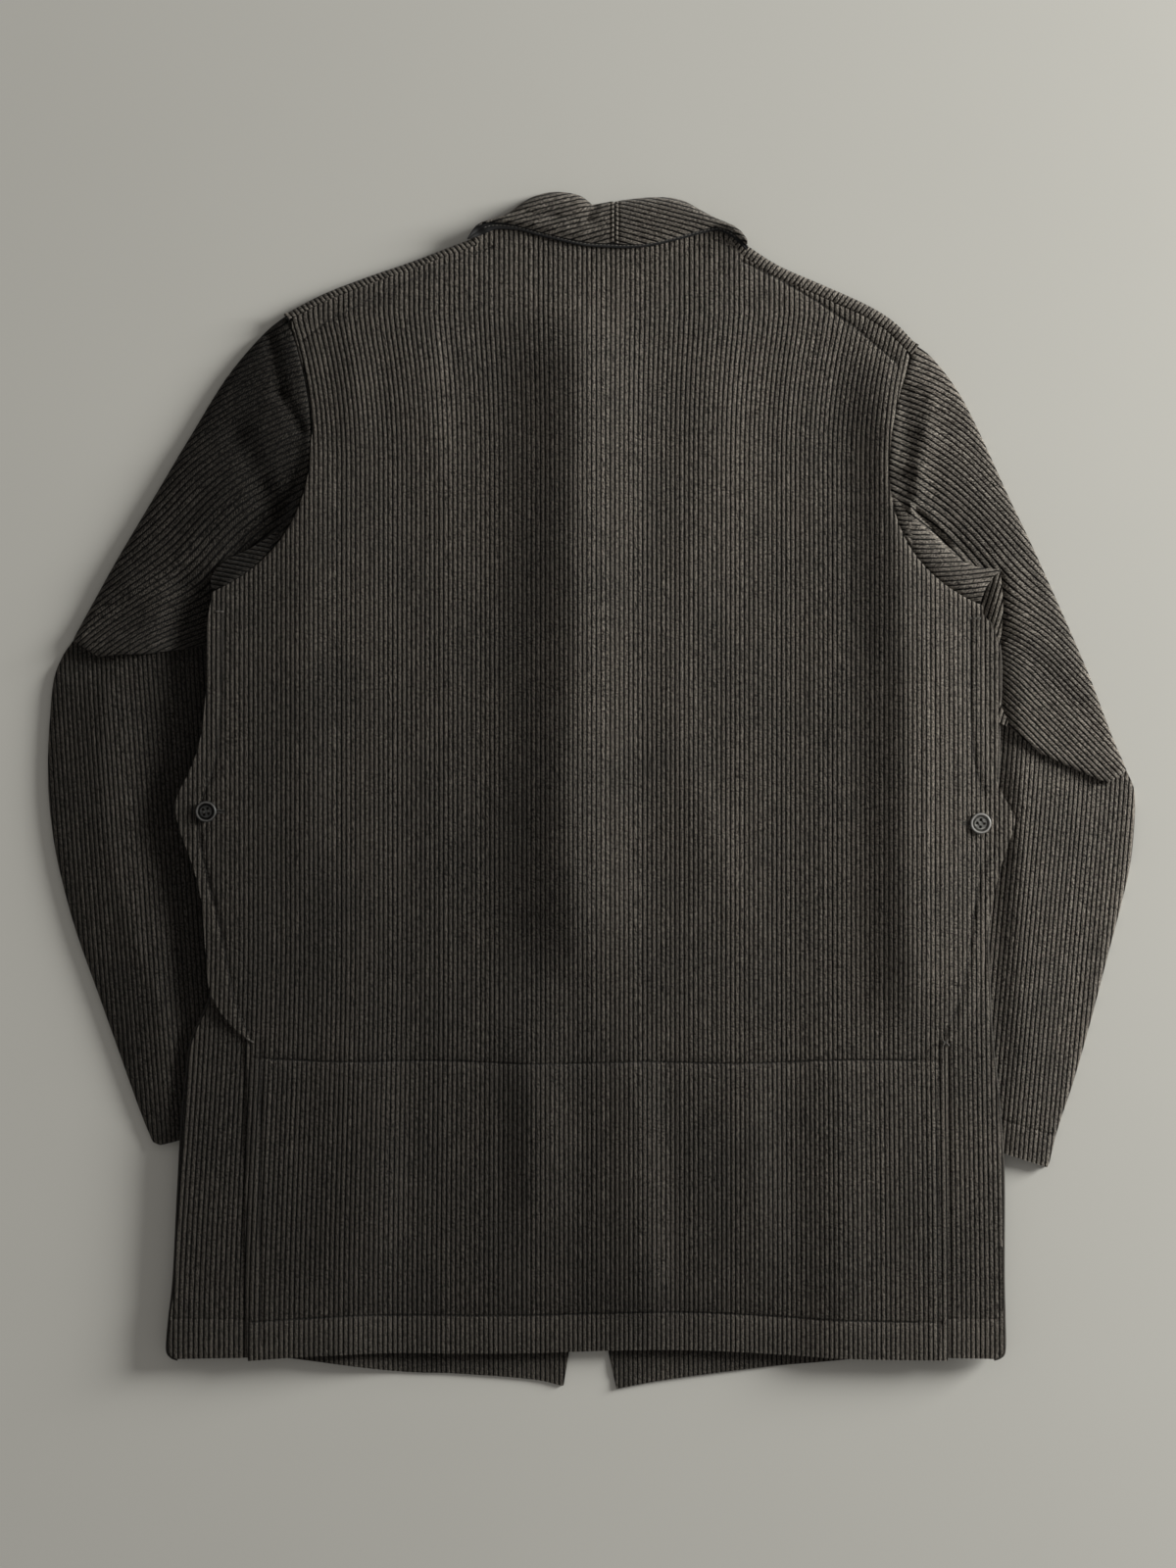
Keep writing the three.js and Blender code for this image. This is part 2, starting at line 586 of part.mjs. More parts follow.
function makeFront(side) {
  const sign = side === "left" ? -1 : 1;
  const outline = frontOutline(side);
  const stripOutline = sideStripOutline(side, sign);
  const lower = sheet({
    columns: sheetColumns(outline, plainPlaces(outline, ARMHOLE_ZONE), bodyRows),
    place: fanned,
    top: (x, y) => bodyRise(x, y) + CLOTH,
    under: bodyRise,
    cords: 0,
    plainStep: 1,
  });
  const strip = sheet({
    columns: sheetColumns(stripOutline, cordPlaces(stripOutline), (low, high) =>
      [0, 0.3, 0.6, 0.85, 1].map((t) => mix(low, high, t))),
    place: fanned,
    top: (x, y) => bodyRise(x, y) + MIDDLE_LAYER + CLOTH + CORD_RISE,
    under: (x, y) => bodyRise(x, y) + MIDDLE_LAYER,
  });
  const turn = foldBar(BODY_SIDE[side].slice(0, -1), -sign, SIDE_FOLD);
  const shoulder = foldBar(SHOULDER_EDGE[side].slice(0, -1), sign, shoulderFold(side));
  const solid = cutArmholes(lower.add(strip).add(turn).add(shoulder));
  return meshOf(`front_${side}`, solid, COLOURS.cloth, 0.95);
}

// Sleeves

const rotated = ({ x, y }, angle) => ({
  x: x * Math.sin(angle) - y * Math.cos(angle),
  y: x * Math.cos(angle) + y * Math.sin(angle),
});

const unrotated = ({ x, y }, angle) => ({
  x: x * Math.sin(angle) + y * Math.cos(angle),
  y: -x * Math.cos(angle) + y * Math.sin(angle),
});

function sleeveOutlines(side) {
  const sleeve = SLEEVES[side];
  const armhole = armholeCurve(side, SEAM_GAP + 0.1);
  const outer = sleeve.outer.map(point);
  const elbow = sleeve.upperRows;
  const tuck = [...sleeve.lip].reverse().map((p) => ({ x: p.x, y: p.y + LIP_TUCK }));
  const upper = [...armhole, ...[...sleeve.lip].reverse(), ...outer.slice(0, elbow).reverse()];
  const fore = [
    ...tuck, outer[elbow - 2], ...outer.slice(elbow - 1), ...sleeve.cuff, ...[...sleeve.inner].reverse(),
  ];
  return { upper, fore, outer };
}

// How far the sleeve may swell: not at all where the body lies on it
function clearOfBody(x, y) {
  const beside = ease((Math.abs(x) - BODY_REACH) / 20);
  return mix(beside, 1, ease((y - 140) / 25));
}

function edgeRounding(x, y, path, { drop, width }) {
  return drop * (1 - Math.min(1, distanceToPath(x, y, path) / width)) ** 2;
}

const SLEEVE_ROWS = (low, high) => {
  const end = Math.min(4, (high - low) / 6);
  return [low, low + end, mix(low, high, 0.5), high - end, high];
};

function makeSleeve(side) {
  const sleeve = SLEEVES[side];
  const { upper, fore, outer } = sleeveOutlines(side);
  const outerEdge = [point({ x: ARMHOLE[side].shoulder[0], y: ARMHOLE[side].shoulder[1] }), ...outer];
  const lip = [outer[sleeve.upperRows - 1], ...sleeve.lip];
  const swell = (x, y, puff) => puff * ease(distanceToPath(x, y, outerEdge) / 42) * clearOfBody(x, y);
  const upperTop = (x, y) => SLEEVE_FLAT + swell(x, y, UPPER_PUFF) + 1.2 * clearOfBody(x, y)
    - creaseDepth(x, y) - edgeRounding(x, y, outerEdge, EDGE_ROUND) - edgeRounding(x, y, lip, LIP_ROUND);
  const foreTop = (x, y) => SLEEVE_FLAT + swell(x, y, FORE_PUFF) - creaseDepth(x, y)
    - edgeRounding(x, y, outerEdge, EDGE_ROUND) - edgeRounding(x, y, lip, { drop: 1.4, width: 40 });
  const arm = (outline, degrees, top, hiddenWithin) => {
    const angle = THREE.MathUtils.degToRad(degrees);
    const pattern = outline.map((p) => rotated(p, angle));
    return sheet({
      columns: sheetColumns(pattern, cordPlaces(pattern, hiddenWithin), SLEEVE_ROWS),
      place: (p) => unrotated(p, angle),
      top,
      under: () => 0,
    });
  };
  const solid = arm(upper, sleeve.upperAngle, upperTop, 0)
    .add(arm(fore, sleeve.foreAngle, foreTop, HIDDEN_WITHIN))
    .subtract(sleeveHollow(side));
  return meshOf(`sleeve_${side}`, solid, COLOURS.cloth, 0.95);
}

const HOLLOW_PROFILE = table(["share", "roof"], [
  [0, 0.35], [0.1, 0.8], [0.3, 1], [0.55, 0.9], [0.8, 0.6], [1, 0.35],
]);

// The hollow runs out through the armhole and the cuff, so that the sleeve stays an open tube
function sleeveHollow(side) {
  const { stations } = SLEEVES[side];
  const inset = 4.5;
  const floor = CLOTH;
  const sections = stations.map((station) => {
    const span = new THREE.Vector2(station.innerX - station.outerX, station.innerY - station.outerY);
    const start = inset / span.length();
    const ceiling = HOLLOW_PROFILE.map(({ share, roof }) => {
      const t = mix(start, 1 - start, share);
      const x = station.outerX + span.x * t;
      const y = station.outerY + span.y * t;
      return new THREE.Vector3(x, y, mix(floor + 0.4, station.roof, roof));
    });
    const [first, last] = [ceiling[0], ceiling.at(-1)];
    return [new THREE.Vector3(first.x, first.y, floor), ...ceiling, new THREE.Vector3(last.x, last.y, floor)];
  });
  return loft([armholeMouth(side), ...sections]);
}

// The first section of the hollow follows the armhole, a little inside the body
function armholeMouth(side) {
  const curve = new THREE.QuadraticBezierCurve(
    ...["shoulder", "bend", "underarm"].map((key) => new THREE.Vector2(...ARMHOLE[side][key])));
  const sign = side === "left" ? 1 : -1;
  const ceiling = HOLLOW_PROFILE.map(({ share, roof }) => {
    const at = curve.getPoint(mix(0.06, 0.92, share));
    return new THREE.Vector3(at.x + sign * 4, at.y - 2, mix(CLOTH + 0.4, 5.8, roof));
  });
  const [first, last] = [ceiling[0], ceiling.at(-1)];
  return [new THREE.Vector3(first.x, first.y, CLOTH), ...ceiling, new THREE.Vector3(last.x, last.y, CLOTH)];
}

// Collar

function lookUp(rows, key, value, at) {
  const sorted = [...rows].sort((a, b) => a[key] - b[key]);
  const last = sorted.length - 1;
  const i = Math.min(last - 1, Math.max(0, sorted.findLastIndex((row) => row[key] <= at)));
  const t = clamp01((at - sorted[i][key]) / (sorted[i + 1][key] - sorted[i][key]));
  return mix(sorted[i][value], sorted[i + 1][value], t);
}

function collarHeight(lines, x, y) {
  const edge = lookUp(lines, "x", "edge", x);
  const roll = lookUp(lines, "x", "roll", x);
  return lookUp(COLLAR_PROFILE, "share", "height", (y - edge) / (roll - edge));
}

// What is taken out of the collar: the back's neck under the fall, the space between fall and
// stand, and the space under the stand
function collarSpace(lines, [from, to]) {
  const backTop = OVER_LAPELS + BACK_CRESTS + 0.4;
  const steps = 7;
  const sections = Array.from({ length: steps + 1 }, (_, i) => {
    const x = mix(from, to, i / steps);
    const neck = lookUp(NECKLINE, "x", "y", x) + 2 * SEAM_GAP;
    const edge = Math.min(lookUp(lines, "x", "edge", x), neck) - 15;
    const roll = lookUp(lines, "x", "roll", x);
    const width = roll - neck;
    return [
      [edge, -1], [edge, backTop], [neck, backTop], [neck + 0.45 * width, 9.5], [neck + 0.8 * width, 5.7],
      [neck + 0.78 * width, 4.5], [neck + 0.4 * width, 6.7], [neck, 9.6], [neck, 7.5],
      [neck + 0.62 * width, 2.4], [neck + 0.8 * width, -1],
    ].map(([y, z]) => new THREE.Vector3(x, y, z));
  });
  return loft(sections);
}

function makeCollar(side) {
  const lines = COLLAR_LINES[side];
  const angle = THREE.MathUtils.degToRad(COLLAR_CORD_ANGLE[side]);
  const outline = [
    ...lines.map((row) => ({ x: row.x, y: row.roll })),
    ...[...lines].reverse().map((row) => ({ x: row.x, y: row.edge })),
  ].map((p) => rotated(p, angle));
  const rollRows = (low, high) => [0, 1, 2, 3, 4, 5, 6, 7].map((i) => mix(low, high, i / 7));
  const roll = sheet({
    columns: sheetColumns(outline, cordPlaces(outline), rollRows),
    place: (p) => unrotated(p, angle),
    top: (x, y) => collarHeight(lines, x, y),
    under: () => 0,
  });
  const lapelRows = (low, high) => [low, mix(low, high, 0.5), high];
  const lapelPattern = LAPEL[side].map((p) => rotated(p, 0));
  const lapel = sheet({
    columns: sheetColumns(lapelPattern, plainPlaces(lapelPattern), lapelRows),
    place: (p) => unrotated(p, 0),
    top: () => CLOTH,
    under: () => 0,
    cords: 0,
    plainStep: 1,
  });
  const solid = roll.subtract(collarSpace(lines, COLLAR_OPEN[side])).add(lapel);
  return meshOf(`collar_${side}`, solid, COLOURS.cloth, 0.95);
}

function makeBinding() {
  const floor = OVER_LAPELS + BACK_CRESTS + 0.35;
  const lines = [...COLLAR_LINES.left, ...COLLAR_LINES.right].sort((a, b) => a.x - b.x);
  const sections = lines.map(({ x, edge }) => {
    const near = edge - SEAM_GAP;
    const far = near - BINDING.width;
    const top = floor + BINDING.height;
    return [[far, floor], [near, floor], [near, top], [far + 0.5, top], [far, top - 0.5]]
      .map(([y, z]) => new THREE.Vector3(x, y, z));
  });
  return meshOf("collar_binding", loft(sections), COLOURS.binding, 0.6);
}

function makeButton(side) {
  const profile = BUTTON_PROFILE.map((row) => new THREE.Vector2(row.radius, row.height));
  const disc = new THREE.LatheGeometry(profile, 16).rotateX(Math.PI / 2);
  let solid = solidFromGeometry(disc);
  for (const [i, j] of [[-1, -1], [-1, 1], [1, -1], [1, 1]]) {
    const hole = new THREE.CylinderGeometry(BUTTON.hole, BUTTON.hole, 4 * BUTTON.height, 8).rotateX(Math.PI / 2);
    hole.translate((i * BUTTON.holeSpread) / 1.4, (j * BUTTON.holeSpread) / 1.4, 0);
    solid = solid.subtract(solidFromGeometry(hole));
  }
  const mesh = meshOf(`button_${side}`, solid, COLOURS.button, 0.35);
  const [x, y] = BUTTON_PLACES[side];
  mesh.position.set(x, y, bodyRise(x, y) + BACK_CRESTS + backFolds(x, y) + SEAM_GAP + 0.1);
  return mesh;
}

const jacket = new THREE.Group();
jacket.add(makeBack(), makeInnerBack(), makeBinding());
for (const side of ["left", "right"]) {
  jacket.add(makeFront(side), makeSleeve(side), makeCollar(side), makeButton(side));
}

export default jacket;
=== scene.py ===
"""Hunting jacket of corded salt-and-pepper cloth, laid face down on a pale floor.

Sizes are in millimetres until a mesh is made. x and y are the garment's own, as in the frame, and
a cloth piece is cut in pattern coordinates: u across its cords and v along them. In each table -1
is the wearer's left side and 1 the right.
"""

import math
import random

import bmesh
import bpy
import numpy as np
from mathutils import Matrix, Vector


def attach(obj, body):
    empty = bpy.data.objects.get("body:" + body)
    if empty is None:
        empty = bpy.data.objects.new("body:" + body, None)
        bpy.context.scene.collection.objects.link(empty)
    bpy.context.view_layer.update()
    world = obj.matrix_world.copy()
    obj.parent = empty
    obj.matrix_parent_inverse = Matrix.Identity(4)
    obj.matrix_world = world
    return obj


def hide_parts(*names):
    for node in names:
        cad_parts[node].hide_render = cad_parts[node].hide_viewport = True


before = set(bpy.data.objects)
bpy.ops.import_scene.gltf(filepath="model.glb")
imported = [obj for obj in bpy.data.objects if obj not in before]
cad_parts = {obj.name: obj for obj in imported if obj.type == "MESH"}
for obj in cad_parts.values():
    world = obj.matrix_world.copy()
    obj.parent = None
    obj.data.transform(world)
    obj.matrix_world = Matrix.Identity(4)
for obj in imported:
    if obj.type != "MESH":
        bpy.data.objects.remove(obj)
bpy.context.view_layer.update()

MM = 0.001
CLOTH = 1.9
CORD_RISE = 0.68
CORD_PITCH = 3.3
SIDE_NAME = {-1: "left", 1: "right"}

# Heights of the layers, and where the body climbs onto the lapels and sleeves: start and length
OVER_LAPELS = 2.5
OVER_SLEEVES = 6.8
SLEEVE_FLAT = 6.2
MIDDLE_LAYER = 2.5
BACK_LAYER = 5.5
BACK_CRESTS = 7.9
LAPEL_CLIMB = (20, 130)
SLEEVE_CLIMB = (130, 60)
UNDERARM_CLIMB = (150, 140)

# The cords spread towards the shoulders and, a little, towards the hem
SHOULDER_FAN = {"start": 235, "length": 100, "reach": 16, "at": 205, "power": 1.3}
HEM_FAN = {"start": -100, "length": 300, "at": 247, "left": 11, "right": 2.6}

# One cord's cross-section: share of the pitch, and share of the rise
CORD_SECTION = ((0.0, 0.0), (0.13, 0.76), (0.5, 1.0), (0.87, 0.76))
PLAIN_SECTION = ((0.0, 1.0), (0.5, 1.0))

# Distances from a sheet's edges and from its creases at which points are added
EDGE_STEPS = (0.8, 2.0, 4.0)
CREASE_STEPS = (-1.7, -0.9, -0.35, 0.0, 0.35, 0.9, 1.7)

# Least distances: the first column from a sheet's edge, between columns and between the points of
# one, the shortest column, and how far two neighbours must run side by side to be joined
EDGE_INSET = 0.12
COLUMN_GAP = 0.2
POINT_GAP = 0.3
SHORTEST_COLUMN = 0.8
LEAST_OVERLAP = 0.5

# How far the paler edges, wear and painted highlight, reach in, and how strong they are at the hem
WEAR_AND_HIGHLIGHT_REACH = 1.8
HEM_WEAR_AND_HIGHLIGHT = 0.5

# Degrees between two faces from which their common edge is sharp
CLOTH_SHARP = 75
HORN_SHARP = 40

# Edges of the cloth, as paths of (x, y). Each armhole is a curve by its three control points.
FLAP_LEFT = [
    (-270, 141), (-274, 112), (-274, 74), (-278, 37), (-286, 13), (-295, -5), (-296, -15),
    (-292, -31), (-284, -53), (-278, -76), (-275, -108), (-273, -136), (-267, -153), (-257, -167),
    (-245, -178),
]
FLAP_RIGHT = [
    (279, 131), (280, 112), (280, 84), (282, 49), (285, 19), (292, -1), (300, -16), (302, -23),
    (299, -34), (292, -54), (286, -79), (282, -100), (280, -122), (276, -146), (270, -165),
    (259, -178),
]
ARMHOLE_TOP = {-1: 333, 1: 311}
ARMHOLE = {
    -1: ((-218, 340), (-165, 190), (-268, 142)),
    1: ((232, 319), (175, 175), (277, 132)),
}
SHOULDER_EDGE = {
    -1: [(-86, 393), (-97, 389), (-128, 377), (-160, 366), (-191, 354), (-216, 341)],
    1: [(112, 388), (134, 374), (166, 360), (197, 346), (216, 334), (230, 320)],
}
SHOULDER_LIP = {-1: 5, 1: 8}
NECKLINE = [
    (-82, 388), (-78, 397), (-66, 400), (-45, 401), (-20, 399), (15, 396), (50, 398), (75, 400),
    (95, 398), (103, 388),
]
BODY_SIDE = {
    -1: [(-295, -405.6), (-299.6, -403.6), (-301.8, -398), (-300, -376), (-297, -349),
         (-294, -290), (-291, -235), (-288, -205), (-284, -178), (-271, -148), (-265, -110),
         (-264, -66), (-264, 140)],
    1: [(287, -405.6), (291.6, -403.8), (293.8, -399), (293.6, -376), (293, -346), (293, -276),
        (291, -240), (288, -205), (285, -180), (283, -143), (282, -101), (286, -50), (290, 40),
        (290, 104), (275, 131)],
}
FRONT_HEM = {
    -1: [(-295, -405.6), (-226, -405), (-142, -416), (-97, -418), (-44, -422), (-20, -427)],
    1: [(287, -405.6), (208, -405), (155, -410), (102, -416), (50, -423), (18, -429)],
}
FRONT_EDGE = {
    -1: [(-16, -402), (-13, -380), (-13, 158), (-40, 250), (-68, 330), (-82, 384)],
    1: [(12, -402), (10, -380), (10, 158), (46, 250), (84, 330), (106, 380)],
}
LAPEL = {
    -1: [(-12, 152), (-44, 250), (-68, 325), (-70, 380), (-58, 402), (-36, 412), (-30, 424),
         (-42, 423), (-56, 413.5), (-74, 404.5), (-81, 399), (-97, 374), (-112, 330),
         (-104, 270), (-70, 205), (-32, 165)],
    1: [(8, 152), (50, 250), (86, 325), (88, 376), (76, 402), (56, 410), (50, 420), (62, 420.5),
        (77, 413), (91, 405), (103, 396), (122, 368), (134, 325), (124, 265), (86, 205),
        (30, 165)],
}

# Lines along and across the body
SIDE_SEAM = 232
POUCH_BOTTOM = -192
HEM_MIDDLE = -401
HEM_STITCH = 27
FRONT_HEM_STITCH = -377
SLIT_TOP = -180
SLIT_EDGE = {-1: -245, 1: 253}


def ease(t):
    t = np.clip(t, 0, 1)
    return t * t * (3 - 2 * t)


def mix(a, b, t):
    return a + (b - a) * t


def bell(distance, width):
    """One at no distance, falling smoothly to nothing past the width."""
    return np.exp(-((distance / width) ** 2))


def run_length(path):
    """How far along a path each of its points is."""
    return np.concatenate([[0], np.cumsum(np.linalg.norm(np.diff(path, axis=0), axis=1))])


def climb(at, start_and_length):
    start, length = start_and_length
    return ease((at - start) / length)


def body_rise(x, y):
    """How far the lapels and sleeves lift the body's layers."""
    lapels = OVER_LAPELS * climb(y, LAPEL_CLIMB)
    sleeves = climb(np.abs(x), SLEEVE_CLIMB) * (1 - climb(y, UNDERARM_CLIMB))
    return lapels + (OVER_SLEEVES - lapels) * sleeves


def path_distance(x, y, path):
    """Distance of each point from a path of straight stretches."""
    least = np.full(np.shape(x), np.inf)
    for (ax, ay), (bx, by) in zip(path, path[1:]):
        length2 = (bx - ax) ** 2 + (by - ay) ** 2
        t = np.clip(((x - ax) * (bx - ax) + (y - ay) * (by - ay)) / length2, 0, 1)
        least = np.minimum(least, np.hypot(x - mix(ax, bx, t), y - mix(ay, by, t)))
    return least


def smooth_path(points, count=40):
    """A Catmull-Rom curve through the points."""
    p = np.asarray(points, float)
    padded = np.vstack([2 * p[0] - p[1], p, 2 * p[-1] - p[-2]])
    s = np.linspace(0, len(p) - 1, count)
    i = np.minimum(s.astype(int), len(p) - 2)
    t = (s - i)[:, None]
    a, b, c, d = padded[i], padded[i + 1], padded[i + 2], padded[i + 3]
    return 0.5 * (2 * b + (c - a) * t + (2 * a - 5 * b + 4 * c - d) * t**2
                  + (3 * b - a - 3 * c + d) * t**3)


def bezier(control, count=48):
    a, b, c = (np.asarray(p, float) for p in control)
    t = np.linspace(0, 1, count)[:, None]
    return (1 - t) ** 2 * a + 2 * t * (1 - t) * b + t**2 * c


def leftwards(path):
    """Unit vectors to the left of a path's direction, one at each point."""
    p = np.asarray(path, float)
    along = np.gradient(p, axis=0)
    along /= np.linalg.norm(along, axis=1)[:, None]
    return np.stack([-along[:, 1], along[:, 0]], axis=1)


def beside(path, distance):
    """A path moved to its left."""
    return np.asarray(path, float) + leftwards(path) * np.reshape(distance, (-1, 1))


class Pattern:
    """Takes a piece of cloth between garment (x, y) and pattern (u, v): the cords are turned by an
    angle from +x and then carried sideways by a bend, given in garment coordinates. The way back
    is found in a few rounds."""

    ROUNDS = 16

    def __init__(self, degrees=90, bend=None):
        self.turn = math.radians(degrees)
        self.bend = bend or (lambda x, y: (0 * x, 0 * y))

    def to_garment(self, uv):
        sin, cos = math.sin(self.turn), math.cos(self.turn)
        u, v = uv[:, 0], uv[:, 1]
        x, y = u * sin + v * cos, -u * cos + v * sin
        dx, dy = self.bend(x, y)
        return np.stack([x + dx, y + dy], axis=1)

    def to_pattern(self, xy):
        xy = np.asarray(xy, float)
        straight = xy.copy()
        for _ in range(self.ROUNDS):
            dx, dy = self.bend(straight[:, 0], straight[:, 1])
            straight = xy - np.stack([dx, dy], axis=1)
        sin, cos = math.sin(self.turn), math.cos(self.turn)
        x, y = straight[:, 0], straight[:, 1]
        return np.stack([x * sin - y * cos, x * cos + y * sin], axis=1)


def body_fan(x, y):
    """How far the body's cords lie outside straight ones."""
    side = np.sign(x)
    top = np.clip((y - SHOULDER_FAN["start"]) / SHOULDER_FAN["length"], 0, 1) ** 2
    spread = (np.abs(x) / SHOULDER_FAN["at"]) ** SHOULDER_FAN["power"]
    reach = np.where(x < 0, HEM_FAN["left"], HEM_FAN["right"])
    lower = reach * ease((HEM_FAN["start"] - y) / HEM_FAN["length"]) * (x / HEM_FAN["at"]) ** 2
    return side * (SHOULDER_FAN["reach"] * top * spread + lower), 0 * y


def crossings(path, at):
    """Where a line of constant u crosses a path of (u, v)."""
    a, b = path[:-1], path[1:]
    hit = (a[:, 0] < at) != (b[:, 0] < at)
    a, b = a[hit], b[hit]
    return a[:, 1] + (at - a[:, 0]) / (b[:, 0] - a[:, 0]) * (b[:, 1] - a[:, 1])


def column_places(outline, section):
    """The u of each column of points, with its height as a share of the cord's rise."""
    low, high = outline[:, 0].min() + EDGE_INSET, outline[:, 0].max() - EDGE_INSET
    places = [
        ((cord + share) * CORD_PITCH, rise)
        for cord in range(math.floor(low / CORD_PITCH), math.ceil(high / CORD_PITCH) + 1)
        for share, rise in section
    ]
    inner = [(at, rise) for at, rise in places if low + COLUMN_GAP < at < high - COLUMN_GAP]
    return [(low, section[0][1]), *inner, (high, section[0][1])]


def column_levels(low, high, step, creases, at, ends):
    """The v of a column's points: even steps, more near its ends and at each crease."""
    even = np.arange(math.ceil(low / step) * step, high, step)
    near = [low + e for e in ends] + [high - e for e in ends]
    cut = [c + s for crease in creases for c in crossings(crease, at) for s in CREASE_STEPS]
    inner = sorted(v for v in [*even, *near, *cut] if low + POINT_GAP < v < high - POINT_GAP)
    levels = [low]
    for v in inner:
        if v - levels[-1] > POINT_GAP:
            levels.append(v)
    return [*levels, high]


def joined_chains(left, right):
    """Triangles between two neighbouring chains of (index, v), both upwards."""
    faces, i, k = [], 0, 0
    while i < len(left) - 1 or k < len(right) - 1:
        rise_left = k == len(right) - 1 or (
            i < len(left) - 1 and left[i + 1][1] + left[i][1] <= right[k + 1][1] + right[k][1])
        if rise_left:
            faces.append((left[i][0], right[k][0], left[i + 1][0]))
            i += 1
        else:
            faces.append((left[i][0], right[k][0], right[k + 1][0]))
            k += 1
    return faces


def part_chains(whole, parts):
    """The stretches of one chain that face each of several chains beside it."""
    v = np.array([level for _, level in whole])
    nearest = [[int(np.abs(v - part[end][1]).argmin()) for end in (0, -1)] for part in parts]
    nearest[0][0] = 0
    nearest[-1][1] = len(whole) - 1
    return [whole[a:b + 1] for a, b in nearest]


def overlapping(chain, others):
    """The chains that run beside this one for some way."""
    low, high = chain[0][1] + LEAST_OVERLAP, chain[-1][1] - LEAST_OVERLAP
    return [other for other in others if other[0][1] < high and other[-1][1] > low]


def cut_cloth(outline, section, step, creases=(), ends=EDGE_STEPS):
    """Points and triangles that fill an outline in pattern coordinates, in columns along the
    cords. Returns the points, each point's height on its cord, and the triangles."""
    closed = np.vstack([outline, outline[:1]])
    points, rises, faces, before = [], [], [], []
    for at, rise in column_places(outline, section):
        ends_at = np.sort(crossings(closed, at))
        chains = []
        for low, high in zip(ends_at[::2], ends_at[1::2]):
            if high - low < SHORTEST_COLUMN:
                continue
            levels = column_levels(low, high, step, creases, at, ends)
            chains.append([(len(points) + i, v) for i, v in enumerate(levels)])
            points += [(at, v) for v in levels]
            rises += [rise] * len(levels)
        for chain in before:
            facing = overlapping(chain, chains)
            if len(facing) > 1:
                for part, other in zip(part_chains(chain, facing), facing):
                    faces += joined_chains(part, other)
        for chain in chains:
            facing = overlapping(chain, before)
            if len(facing) > 1:
                for part, other in zip(part_chains(chain, facing), facing):
                    faces += joined_chains(other, part)
            elif len(facing) == 1 and len(overlapping(facing[0], chains)) == 1:
                faces += joined_chains(facing[0], chain)
        before = chains
    return np.array(points), np.array(rises), np.array(faces)


def rim_quads(faces, count):
    """Quads that close the edge between a sheet and its copy below it."""
    edges = faces[:, [0, 1, 1, 2, 2, 0]].reshape(-1, 2)
    forward = edges[:, 0] * count + edges[:, 1]
    backward = edges[:, 1] * count + edges[:, 0]
    a, b = edges[~np.isin(forward, backward)].T
    return np.stack([a, a + count, b + count, b], axis=1)


def lay_cloth(name, outline, pattern, top, material, thickness=CLOTH, section=CORD_SECTION,
              rise=CORD_RISE, step=12, creases=(), ends=EDGE_STEPS, under=None):
    """A closed sheet of cloth with raised cords on its upper face. top and under give the heights
    of its faces. Its turned edges and the hem are paler, as wear and as painted highlight."""
    cut_outline = pattern.to_pattern(outline)
    cut_creases = [pattern.to_pattern(c) for c in creases]
    uv, cord, faces = cut_cloth(cut_outline, section, step, cut_creases, ends)
    xy = pattern.to_garment(uv)
    x, y = xy.T
    crest = top(x, y)
    upper = crest - rise * (1 - cord)
    lower = under(x, y) if under else crest - rise - thickness
    count = len(uv)
    points = np.vstack([np.column_stack([xy, upper]), np.column_stack([xy, lower])])
    triangles = [*faces.tolist(), *(faces[:, ::-1] + count).tolist()]
    quads = rim_quads(faces, count).tolist()
    # Paler towards the turned edges and along the hem: wear, and painted highlight where the edges
    # catch the light.
    wear_and_highlight = np.exp(-path_distance(x, y, [*outline, outline[0]]) / WEAR_AND_HIGHLIGHT_REACH)
    wear_and_highlight = np.maximum(wear_and_highlight, HEM_WEAR_AND_HIGHLIGHT * ease((FRONT_HEM_STITCH + 3 - y) / 3))
    return make_mesh(name, points, [*triangles, *quads], np.vstack([uv, uv]) / CORD_PITCH,
                     np.concatenate([wear_and_highlight, wear_and_highlight]), material)


def make_mesh(name, points, faces, uv=None, wear_and_highlight=None, material=None):
    """An object from points in millimetres. uv and the paler edges' share (wear and painted
    highlight) have a row for each point.
    """
    mesh = bpy.data.meshes.new(name)
    mesh.from_pydata((np.asarray(points) * MM).tolist(), [], faces)
    loop_points = np.empty(len(mesh.loops), np.int32)
    mesh.loops.foreach_get("vertex_index", loop_points)
    if uv is not None:
        layer = mesh.uv_layers.new(name="pattern")
        layer.data.foreach_set("uv", np.asarray(uv, np.float32)[loop_points].ravel())
    if wear_and_highlight is not None:
        wear_and_highlight_layer = mesh.attributes.new("wear_and_highlight", "FLOAT", "POINT")
        wear_and_highlight_layer.data.foreach_set("value", wear_and_highlight.astype(np.float32))
    mesh.polygons.foreach_set("use_smooth", [True] * len(mesh.polygons))
    mesh.set_sharp_from_angle(angle=math.radians(CLOTH_SHARP))
    if material:
        mesh.materials.append(material)
    piece = bpy.data.objects.new(name, mesh)
    bpy.context.scene.collection.objects.link(piece)
    return piece


def join(name, pieces):
    """Joins pieces into the first of them, which takes the name."""
    with bpy.context.temp_override(active_object=pieces[0], selected_editable_objects=pieces):
        bpy.ops.object.join()
    pieces[0].name = name
    pieces[0].data.name = name
    return pieces[0]


def tube_faces(rings, count):
    """The sides and both ends of a closed tube of rings, each with so many points."""
    faces = []
    for r in range(rings - 1):
        for i in range(count):
            k = (i + 1) % count
            faces.append((r * count + i, r * count + k, (r + 1) * count + k, (r + 1) * count + i))
    faces.append(tuple(reversed(range(count))))
    faces.append(tuple((rings - 1) * count + i for i in range(count)))
    return faces


